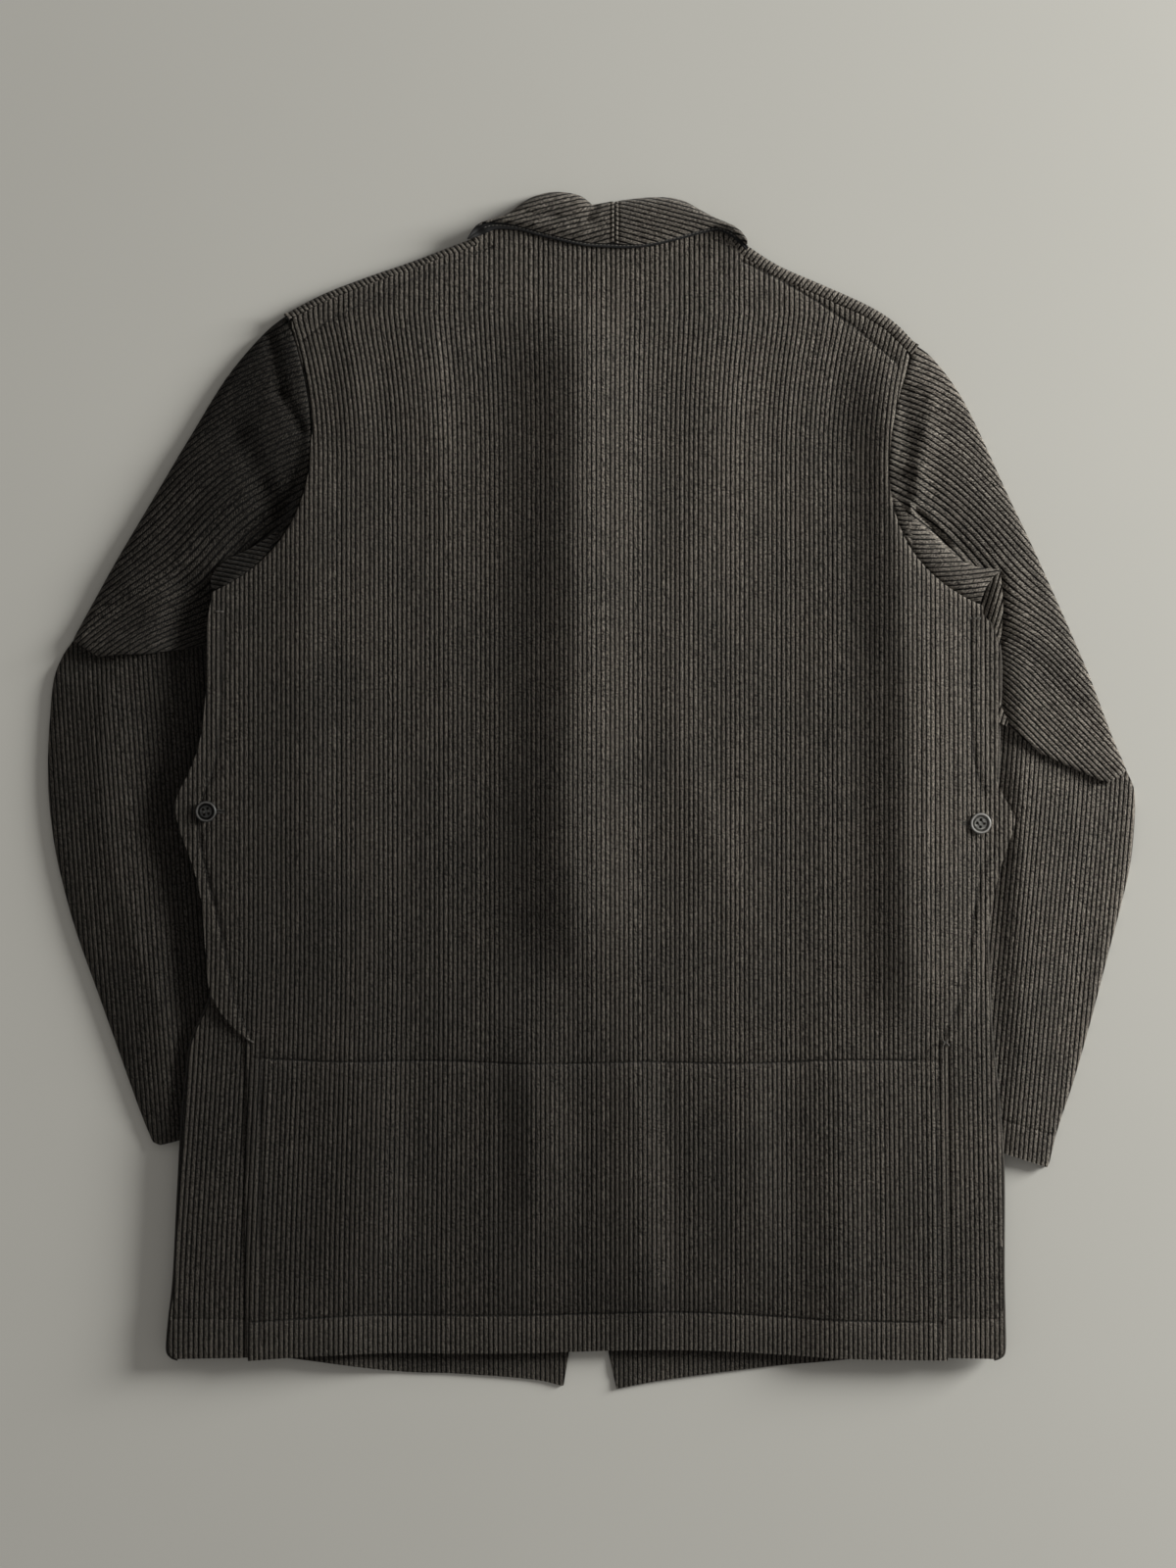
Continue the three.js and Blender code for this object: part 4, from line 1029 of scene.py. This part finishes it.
def sleeve_height(side, puff, over):
    outer = smooth_path(SLEEVE_OUTER[side], 80)
    hole = armhole(side)

    def top(x, y):
        away = path_distance(x, y, outer)
        to_hole = path_distance(x, y, hole)
        free = clear_of_body(x, y, side)
        swell = puff * swelling(away, side)
        open_height = SLEEVE_FLAT - 1.6 * free + swell * free + over * free
        level = body_rise(x, y) + BACK_CRESTS + 0.4
        head = bell(to_hole, HEAD_WIDTH[side]) * free * ease(away / 20)
        height = mix(open_height, np.maximum(level, open_height), head)
        seam = 1.3 * bell(to_hole, 1.5)
        return height - sleeve_relief(x, y, side) - edge_drop(away, 1.6 + over, 7.0) - seam

    return top


def upper_sleeve_outline(side):
    outer = np.array(SLEEVE_OUTER[side][:ELBOW_AT[side] + 1], float)
    lower = SLEEVE_LIP[side][:0:-1] if side < 0 else UPPER_END_RIGHT
    return np.vstack([armhole(side, 0.35)[1:], lower, smooth_path(outer, 50)[::-1]])


def fore_sleeve_outline(side):
    elbow = ELBOW_AT[side]
    outer = np.array(SLEEVE_OUTER[side][elbow:], float)
    lip = np.array(SLEEVE_LIP[side], float)
    tuck = lip[lip[:, 1] < 125][::-1] + np.array([-side * 8, 7])
    return np.vstack([tuck, smooth_path(outer, 60), CUFF[side], SLEEVE_INNER[side][::-1]])


def under_sleeve_outline(side):
    outer = smooth_path(SLEEVE_OUTER[side][1:], 90)
    return np.vstack([armhole(side, 0.35)[4:-2], SLEEVE_INNER[side], CUFF[side][::-1], outer[::-1]])


def make_sleeve(side, cloth):
    lip = smooth_path(SLEEVE_LIP[side], 40)
    upper_top = sleeve_height(side, 6.5, 3.0)
    fore_top = sleeve_height(side, 8.0, 0.6)
    cuff_stitch = np.array(CUFF_STITCH[side], float)

    def upper_crest(x, y):
        to_lip = path_distance(x, y, lip)
        roll = 1.6 * bell(to_lip, 14) * clear_of_body(x, y, side)
        return np.maximum(upper_top(x, y) + roll - edge_drop(to_lip, 3.2, 5.0), EDGE_HEIGHT)

    def fore_crest(x, y):
        under_lip = ELBOW_SHADOW[side] * bell(path_distance(x, y, lip), 16)
        line = 0.7 * bell(path_distance(x, y, cuff_stitch), 0.8)
        return np.maximum(fore_top(x, y) - under_lip - line, EDGE_HEIGHT)

    bent = Pattern(UPPER_ANGLE[side], sleeve_bend(side))
    straight = Pattern(FORE_ANGLE[side])
    pieces = [
        lay_cloth(f"upper_{side}", upper_sleeve_outline(side), bent, upper_crest, cloth, step=7,
                  under=lambda x, y: np.clip(upper_crest(x, y) - 2.4, 0.4, 4.4),
                  ends=(1.0, 3.0, 6.0, 10.0, 15.0, 21.0)),
        lay_cloth(f"fore_{side}", fore_sleeve_outline(side), straight, fore_crest, cloth, step=9,
                  under=lambda x, y: np.clip(fore_crest(x, y) - 2.2, 0.3, 3.9),
                  ends=(0.8, 2, 4, 8, 14), creases=[cuff_stitch]),
        lay_cloth(f"floor_{side}", under_sleeve_outline(side), straight, lambda x, y: 0 * x + 1.75,
                  cloth, under=lambda x, y: 0 * x, rise=0.0, step=25, section=PLAIN_SECTION),
    ]
    if side > 0:
        pieces += [make_gusset_right(cloth), make_turned_strip(cloth)]
    else:
        pieces += [make_gusset_left(cloth)]
    name = f"sleeve_{SIDE_NAME[side]}"
    sleeve = join(f"{name}_cloth", pieces)
    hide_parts(name)
    return sleeve


GUSSET_RIGHT = [
    (213.2, 221), (218, 209), (230.7, 196.7), (243, 183), (253, 172.2), (267, 161.7), (280, 158),
    (291.6, 157.5), (286, 151), (281, 144), (276.5, 133),
]
GUSSET_LEFT = [
    (-270.5, 143), (-271, 152), (-262, 163), (-250, 169), (-239, 175), (-226, 184), (-216, 194),
]


def gusset_outline(points, side):
    """A patch of the sleeve's cloth between a fold and the armhole."""
    hole = armhole(side, 0.35)
    low, high = min(p[1] for p in points), max(p[1] for p in points)
    seam = hole[(hole[:, 1] > low) & (hole[:, 1] < high)]
    curve = smooth_path(points, 40)
    return np.vstack([curve, seam[::-1]]) if side > 0 else np.vstack([curve, seam])


def make_gusset_right(cloth):
    """The underarm cloth, folded up beside the flap; a slit opens above its near end."""
    outline = gusset_outline(GUSSET_RIGHT, 1)
    upper = smooth_path(GUSSET_RIGHT[:8], 40)
    slit = smooth_path(GUSSET_RIGHT[:5], 30)

    def top(x, y):
        seam = path_distance(x, y, armhole(1))
        level = body_rise(x, y) + BACK_CRESTS + 0.5
        swell = 2.0 * bell(seam - 8, 7) - 0.9 * bell(seam, 1.3)
        rounded = edge_drop(path_distance(x, y, upper), 2.6, 5.0)
        return level + swell - rounded - 1.6 * bell(path_distance(x, y, slit), 3)

    fan = Pattern(9, lambda x, y: (0 * x, 0.0016 * (x - 285) ** 2))
    return lay_cloth("gusset_right", outline, fan, top, cloth, step=5, thickness=3.0)


def make_gusset_left(cloth):
    fold = smooth_path(GUSSET_LEFT, 30)

    def top(x, y):
        level = body_rise(x, y) + BACK_CRESTS - 3.0
        swell = 2.6 * ease(path_distance(x, y, fold) / 12)
        return level + swell - 0.8 * bell(path_distance(x, y, armhole(-1)), 1.5)

    return lay_cloth("gusset_left", gusset_outline(GUSSET_LEFT, -1), Pattern(169), top, cloth,
                     step=6, thickness=3.0)


TURNED_STRIP = [
    (291.6, 156), (293.5, 130), (291, 100), (290, 80), (291.5, 62), (298, 46), (288, 50),
    (281, 60), (277, 90), (276, 118), (279, 140),
]


def make_turned_strip(cloth):
    """The sleeve's underside, turned up between the flap and the upper arm."""
    outline = smooth_path([*TURNED_STRIP, TURNED_STRIP[0]], 60)[:-1]
    return lay_cloth(
        "turned_strip", outline, Pattern(74), lambda x, y: mix(8.2, 12.6, ease((x - 277) / 13)),
        cloth, step=6, thickness=1.4)


# Collar: the seam at the middle of the neck, and x, the fall's edge and the roll along each half

NECK_SEAM = 16.5
COLLAR_LINES = {
    -1: [(16.2, 389.3, 421.2), (9, 389.6, 420.6), (2, 389.9, 418.4), (-3, 390.5, 422.0),
         (-9, 391.6, 425.6), (-20, 393.8, 427.8), (-30, 396, 427.8), (-40, 398.8, 425.4),
         (-48, 401, 421.2), (-56, 403, 415.4), (-64, 404.4, 410), (-72, 404.4, 407.6),
         (-78, 403.2, 405.3), (-82, 401, 402.9)],
    1: [(16.8, 389.3, 421.2), (30, 388.8, 423), (43, 390, 424.1), (57, 393, 423.8),
        (67, 396, 421.3), (76, 398.5, 416.2), (86, 400.6, 410.6), (96, 399.4, 405.8),
        (102, 396, 403.4), (107, 391.8, 399.6), (111, 387.4, 394)],
}

# Share of the way from the edge to the roll, and height
COLLAR_PROFILE = (
    (0, 13.6), (0.12, 15.4), (0.3, 16.4), (0.5, 16.2), (0.68, 15.0), (0.8, 13.2), (0.88, 11.0),
    (0.94, 8.4), (1, 3.6),
)
COLLAR_ANGLE = {-1: 15, 1: 165}
LAPEL_ANGLE = {-1: 60, 1: 120}

# Folds in the collar: from, to, width, depth (a ridge where negative)
COLLAR_CREASES = {
    -1: (((-58, 412), (-26, 408.6), 2.8, 1.5), ((-26, 408.6), (2, 404.5), 3.0, 1.0),
         ((-66, 406.5), (-40, 403.6), 2.6, -1.3), ((-40, 403.6), (-6, 398.5), 3.2, -1.2),
         ((2, 420), (-3, 409), 3.4, 2.2), ((-3, 409), (-12, 402), 4.0, 1.0),
         ((-36, 423), (-12, 417), 6, 0.5), ((-10, 420), (-5, 411), 3.0, -0.8),
         ((-74, 407.4), (-44, 405.8), 1.2, 1.1), ((-44, 405.8), (-6, 400.4), 1.2, 0.9)),
    1: (((30, 404), (70, 409), 5.0, 0.6), ((40, 396), (80, 405), 4.0, -0.6),
        ((96, 404), (109, 393), 2.4, -0.9)),
}


def collar_lines(side):
    return np.array(sorted(COLLAR_LINES[side]), float).T


def collar_height(x, y, side):
    at, edge, roll = collar_lines(side)
    low, high = np.interp(x, at, edge), np.interp(x, at, roll)
    share, height = np.array(COLLAR_PROFILE).T
    z = np.interp((y - low) / (high - low), share, height)
    for start, end, width, depth in COLLAR_CREASES[side]:
        z = z - depth * bell(path_distance(x, y, [start, end]), width)
    seam = np.abs(x - NECK_SEAM)
    return z - 1.1 * bell(seam, 0.55) + 0.45 * bell(seam - 1.5, 0.8) - 0.9 * bell(seam - 3.1, 0.55)


def collar_seam(side):
    """The stitched edge beside the seam at the middle of the neck."""
    places = (NECK_SEAM + side * 3.1, NECK_SEAM + side * 1.2)
    return [np.array([(x, 386), (x, 424)], float) for x in places]


def collar_outline(side):
    at, edge, roll = collar_lines(side)
    upper = smooth_path(np.column_stack([at, roll]), 60)
    lower = smooth_path(np.column_stack([at, edge]), 60)
    return np.vstack([lower, upper[::-1]])


def make_collar(side, cloth):
    def height(x, y):
        return collar_height(x, y, side)

    fall = lay_cloth(
        f"fall_{side}", collar_outline(side), Pattern(COLLAR_ANGLE[side]), height, cloth,
        under=lambda x, y: np.maximum(height(x, y) - 2.6, 0.3), step=2.0,
        creases=collar_seam(side), ends=(0.4, 0.9, 1.6, 2.6))
    lapel_outline = smooth_path([*LAPEL[side], LAPEL[side][0]], 90)[:-1]
    lapel = lay_cloth(
        f"lapel_{side}", lapel_outline, Pattern(LAPEL_ANGLE[side]), lambda x, y: 0 * x + CLOTH,
        cloth, under=lambda x, y: 0 * x, rise=0.3, step=12)
    name = f"collar_{SIDE_NAME[side]}"
    collar = join(f"{name}_cloth", [fall, lapel])
    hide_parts(name)
    return collar


# Binding: the upper edge of the tape, and the lower one
BINDING = [
    (-88.6, 393.2, -88.2, 392.6), (-86.2, 397.2, -84.5, 393.6), (-82.4, 402.4, -78.5, 395.9),
    (-78, 404.6, -74, 397.6), (-70, 405.6, -69.5, 399.4), (-60, 404.6, -61, 399.8),
    (-50, 402.4, -51, 398.8), (-38, 399, -39, 395.6), (-18.4, 394.2, -19, 390.6),
    (-4, 391.4, -4.4, 387.8), (11.6, 390.4, 11.6, 386.7), (25.6, 389.8, 26, 386.3),
    (40, 390.8, 40.8, 387.6), (54.4, 393.8, 55.6, 390.8), (68.7, 397.4, 70.2, 394.6),
    (83, 401.0, 84, 398.0), (90, 401.6, 89.5, 398.6), (97, 400.0, 95.4, 397.0),
    (103, 396.4, 101.1, 393.6), (108, 391.8, 106, 389.2), (112, 386.8, 110.2, 384.8),
]

# The tape's section: share of its width, and height. It sinks along the stitches in its middle.
TAPE_SECTION = (
    (0, -0.6), (1, -0.6), (1.0, 0.35), (0.93, 0.85), (0.72, 1.0), (0.56, 0.75), (0.5, 0.45),
    (0.44, 0.75), (0.25, 1.0), (0.06, 0.85), (0, 0.35),
)
TAPE_STITCHED = slice(22, -14)


def binding_edges():
    upper, lower = (smooth_path([row[k:k + 2] for row in BINDING], 160) for k in (0, 2))
    x = (upper[:, 0] + lower[:, 0]) / 2
    ends = np.maximum(ease((-66 - x) / 20), ease((x - 92) / 18))
    height = back_top(x, np.minimum(lower[:, 1], 384)) + 1.0 + 0.5 * ends
    return upper, lower, height


def make_binding(tape, thread):
    upper, lower, height = binding_edges()
    rings = []
    for a, b, z in zip(upper, lower, height):
        rings += [(*mix(a, b, share), z + up) for share, up in TAPE_SECTION]
    faces = tube_faces(len(upper), len(TAPE_SECTION))
    binding = make_mesh("binding_tape", rings, faces, material=tape)
    outward_normals(binding)
    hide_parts("collar_binding")
    middle = np.column_stack([mix(upper, lower, 0.5), height + 0.62])[TAPE_STITCHED]
    make_stitches("binding_stitch", [middle], thread, length=2.0, gap=0.8, radius=0.24)
    return binding


# Stitches

# Each ring of a stitch: share of its length, share of its radius, and how far it bows upwards
STITCH_RINGS = (
    (0, 0.35, -0.25), (0.12, 0.85, 0.0), (0.5, 1.0, 0.12), (0.88, 0.85, 0.0), (1.0, 0.35, -0.25),
)
STITCH_SIDES = 6


def make_stitches(name, paths, thread, length=2.4, gap=0.9, radius=0.28):
    """Short threads laid end to end along each path of (x, y, z)."""
    random.seed(name)
    spines = []
    for path in paths:
        along = run_length(path)
        for start in np.arange(0.5, along[-1] - length, length + gap):
            stations = start + length * np.array([share for share, _, _ in STITCH_RINGS])
            spine = np.column_stack([np.interp(stations, along, path[:, k]) for k in range(3)])
            spines.append((spine, radius * random.uniform(0.85, 1.1)))
    return sew(name, spines, thread)


def sew(name, spines, thread):
    """One piece of thread along each spine, with its own radius."""
    points, faces = [], []
    for spine, radius in spines:
        first = len(points)
        points += stitch_points(spine, radius)
        faces += [tuple(first + i for i in face) for face in tube_faces(len(spine), STITCH_SIDES)]
    piece = make_mesh(name, points, faces, material=thread)
    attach(piece, "root")
    return piece


def stitch_points(spine, radius):
    along = spine[-1] - spine[0]
    along = along / np.linalg.norm(along)
    across = np.cross(along, (0, 0, 1))
    across = across / np.linalg.norm(across)
    up = np.cross(across, along)
    points = []
    for centre, (_, share, lift) in zip(spine, STITCH_RINGS):
        for k in range(STITCH_SIDES):
            turn = 2 * math.pi * k / STITCH_SIDES
            raised = centre + up * (lift + radius * share * math.sin(turn))
            points.append(raised + across * radius * share * math.cos(turn))
    return points


def short_spine(path):
    """A path of three points as the even spine of one stitch."""
    stations = np.linspace(0, 2, len(STITCH_RINGS))
    return np.column_stack([np.interp(stations, range(3), path[:, k]) for k in range(3)])


def on_back(path, lift=0.15):
    path = np.asarray(path, float)
    return np.column_stack([path, back_top(path[:, 0], path[:, 1]) + lift])


def fine(path, step=1.2):
    """A path's points at even steps."""
    path = np.asarray(path, float)
    along = run_length(path)
    at = np.arange(0, along[-1], step)
    return np.column_stack([np.interp(at, along, path[:, k]) for k in range(2)])


# Bartacks: middle, and the way they run
FLAP_TACKS = (((-264, 127), (9, 0)), ((273, 122), (11, 0)))
SLIT_TACKS = (((-243, -178.5), (7, -4)), ((252, -180), (6, 6)), ((252, -180), (-7, 5)))


def make_seams(thread, tack_thread):
    lines = [*back_creases(), *(VENT_STITCH[side] for side in (-1, 1))]
    make_stitches("seam_stitches", [on_back(fine(line)) for line in lines], thread)
    bars = [bar for centre, way in (*FLAP_TACKS, *SLIT_TACKS) for bar in bartack(centre, way)]
    make_stitches("bartacks", bars, tack_thread, length=3.2, gap=0.1, radius=0.42)


def bartack(centre, way):
    (x, y), (dx, dy) = centre, way
    path = fine([(x - dx / 2, y - dy / 2), (x + dx / 2, y + dy / 2)], 0.8)
    return [on_back(path + np.array([0, shift]), 0.35) for shift in (-0.25, 0.25)]


# Buttons

BUTTON_PLACES = {-1: (-274, -15.4), 1: (277, -23.8)}
BUTTON_TURN = {-1: 12, 1: 40}
BUTTON_LIFT = 0.5

# Radius and height, from the middle of the underside round the rim to the middle of the face
BUTTON_PROFILE = (
    (0, 0), (5.6, 0), (6.8, 0.4), (7.4, 1.2), (7.5, 1.9), (7.35, 2.6), (7.0, 3.05), (6.5, 3.2),
    (6.1, 3.05), (5.85, 2.6), (5.7, 1.8), (5.4, 1.0), (5.0, 0.8), (4.7, 1.1), (4.5, 1.9),
    (4.2, 2.2), (2.0, 2.1), (0, 2.0),
)

# The four holes are each as far from the middle along x as along y. The thread reaches a little
# past them, and the worked buttonhole starts at the button's rim.
HOLE = {"radius": 1.15, "from_middle": 1.725, "depth": 12}
SEWN_REACH = 2.185
BUTTONHOLE = {"from_middle": 6.0, "pitch": 0.45, "stitches": 16}


def lathe(name, profile, material, sides=96):
    """A turned solid. The first and last rows of the profile, on the axis, close its ends."""
    points = [
        (radius * math.cos(t), radius * math.sin(t), height)
        for radius, height in profile[1:-1]
        for t in np.linspace(0, 2 * math.pi, sides, endpoint=False)
    ]
    return make_mesh(name, points, tube_faces(len(profile) - 2, sides), material=material)


def drill(piece, centres):
    for x, y in centres:
        bpy.ops.mesh.primitive_cylinder_add(
            vertices=28, radius=HOLE["radius"] * MM, depth=HOLE["depth"] * MM,
            location=(x * MM, y * MM, 0))
        cutter = bpy.context.object
        cut = piece.modifiers.new("hole", "BOOLEAN")
        cut.operation, cut.object, cut.solver = "DIFFERENCE", cutter, "EXACT"
        drilled = piece.evaluated_get(bpy.context.evaluated_depsgraph_get())
        mesh = bpy.data.meshes.new_from_object(drilled)
        piece.modifiers.clear()
        piece.data = mesh
        bpy.data.objects.remove(cutter)
    piece.data.polygons.foreach_set("use_smooth", [True] * len(piece.data.polygons))
    piece.data.set_sharp_from_angle(angle=math.radians(HORN_SHARP))


def make_button(side, horn, thread):
    name = f"button_{SIDE_NAME[side]}"
    x, y = BUTTON_PLACES[side]
    height = float(back_top(np.array([float(x)]), np.array([float(y)]))[0]) + BUTTON_LIFT
    turn = Matrix.Rotation(math.radians(BUTTON_TURN[side]), 4, "Z")
    place = Matrix.Translation((x * MM, y * MM, height * MM)) @ turn
    button = lathe(f"{name}_horn", BUTTON_PROFILE, horn)
    across = (-HOLE["from_middle"], HOLE["from_middle"])
    drill(button, [(i, k) for i in across for k in across])
    button.data.transform(place)
    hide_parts(name)
    spines = []
    for at in across:
        for shift in (-0.28, 0.28):
            path = np.array([(at, -SEWN_REACH, 1.3), (at, 0, 2.15), (at, SEWN_REACH, 1.3)])
            spines.append((short_spine(path + np.array([shift, 0, 0])), 0.27))
    sew(f"{name}_thread", spines, thread).data.transform(place)
    make_buttonhole(side, thread)
    return button


def make_buttonhole(side, thread):
    """The worked end of the buttonhole, just inboard of the button."""
    x, y = BUTTON_PLACES[side]
    spines = []
    for k in range(BUTTONHOLE["stitches"]):
        at = x - side * (BUTTONHOLE["from_middle"] + BUTTONHOLE["pitch"] * k)
        for sign in (-1, 1):
            path = on_back([(at, y + sign * away) for away in (0.35, 0.9, 1.5)], 0.25)
            spines.append((short_spine(path), 0.26))
    sew(f"buttonhole_{SIDE_NAME[side]}", spines, thread)


# Stage, in metres: what the camera sees, where it and the light stand, and the floor

IMAGE = (1200, 1600)
VIEW_WIDTH = 0.840
VIEW_CENTRE = (-0.00245, 0.0042)
CAMERA_HEIGHT = 2.4
FOCUS_HEIGHT = 0.008
SENSOR_HEIGHT = 32.0
FLOOR_HALF = 6.0
FLOOR_DROP = 0.0002
WINDOW = {"place": (3.27, 1.2, 1.1), "size": 1.5, "watts": 250, "colour": (0.985, 0.99, 0.955)}
ROOM = {"colour": (1.0, 0.975, 0.93, 1), "strength": 0.29}


def make_camera():
    data = bpy.data.cameras.new("camera")
    data.sensor_fit = "VERTICAL"
    data.sensor_height = SENSOR_HEIGHT
    view_height = VIEW_WIDTH * IMAGE[1] / IMAGE[0]
    data.lens = SENSOR_HEIGHT * (CAMERA_HEIGHT - FOCUS_HEIGHT) / view_height
    camera = bpy.data.objects.new("camera", data)
    camera.location = (*VIEW_CENTRE, CAMERA_HEIGHT)
    bpy.context.scene.collection.objects.link(camera)
    bpy.context.scene.camera = camera


def make_window():
    """A broad soft light, low on the wearer's right."""
    data = bpy.data.lights.new("window", "AREA")
    data.shape, data.size = "DISK", WINDOW["size"]
    data.energy, data.color = WINDOW["watts"], WINDOW["colour"]
    light = bpy.data.objects.new("window", data)
    light.location = WINDOW["place"]
    light.rotation_mode = "QUATERNION"
    light.rotation_quaternion = (-Vector(WINDOW["place"])).to_track_quat("-Z", "Y")
    bpy.context.scene.collection.objects.link(light)


def make_stage():
    corners = [(-1, -1, 0), (1, -1, 0), (1, 1, 0), (-1, 1, 0)]
    points = np.array(corners) * FLOOR_HALF / MM
    floor = make_mesh("floor", points, [(0, 1, 2, 3)], material=floor_material())
    floor.location.z = -FLOOR_DROP
    make_window()
    world = bpy.data.worlds.new("room")
    world.use_nodes = True
    background = world.node_tree.nodes["Background"]
    background.inputs[0].default_value = ROOM["colour"]
    background.inputs[1].default_value = ROOM["strength"]
    bpy.context.scene.world = world
    bpy.context.scene.view_settings.view_transform = "Standard"


def main():
    make_camera()
    # Painted light and shade in the cloth: the body's colour is darker towards the bottom left,
    # away from the light. The right sleeve's copy is painted lighter, and the left sleeve's is
    # painted darker towards the body, as its shade.
    cloth = cloth_material("cloth", (0.33, 0.875))
    left_cloth_painted_shade = cloth_material("cloth_left_painted_shade", (0.33, 0.135), (-0.36, -0.22), (1.0, 0.12))
    right_cloth_painted_light = cloth_material("cloth_right_painted_light", (0.39, 0.94))
    thread = thread_material("thread", rgb(0.006, 0.0055, 0.005), rgb(0.03, 0.027, 0.024))
    pale_thread = thread_material("pale_thread", rgb(0.1, 0.095, 0.085), rgb(0.3, 0.28, 0.25))
    tack_thread = thread_material("tack_thread", rgb(0.012, 0.011, 0.01), rgb(0.09, 0.08, 0.07))
    dark_horn = horn_material("horn_dark", BUTTON_PLACES[-1], rgb(0.006, 0.006, 0.006),
                              rgb(0.03, 0.029, 0.028), rgb(0.065, 0.063, 0.06))
    grey_horn = horn_material("horn_grey", BUTTON_PLACES[1], rgb(0.12, 0.118, 0.112),
                              rgb(0.25, 0.245, 0.23), rgb(0.27, 0.26, 0.25))
    pieces = [
        make_back(cloth), make_inner_back(cloth), make_front(-1, cloth), make_front(1, cloth),
        make_sleeve(-1, left_cloth_painted_shade), make_sleeve(1, right_cloth_painted_light), make_collar(-1, cloth),
        make_collar(1, cloth), make_binding(tape_material(), pale_thread),
        make_button(-1, dark_horn, thread), make_button(1, grey_horn, thread),
    ]
    for piece in pieces:
        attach(piece, "root")
    make_seams(thread, tack_thread)
    make_stage()


main()
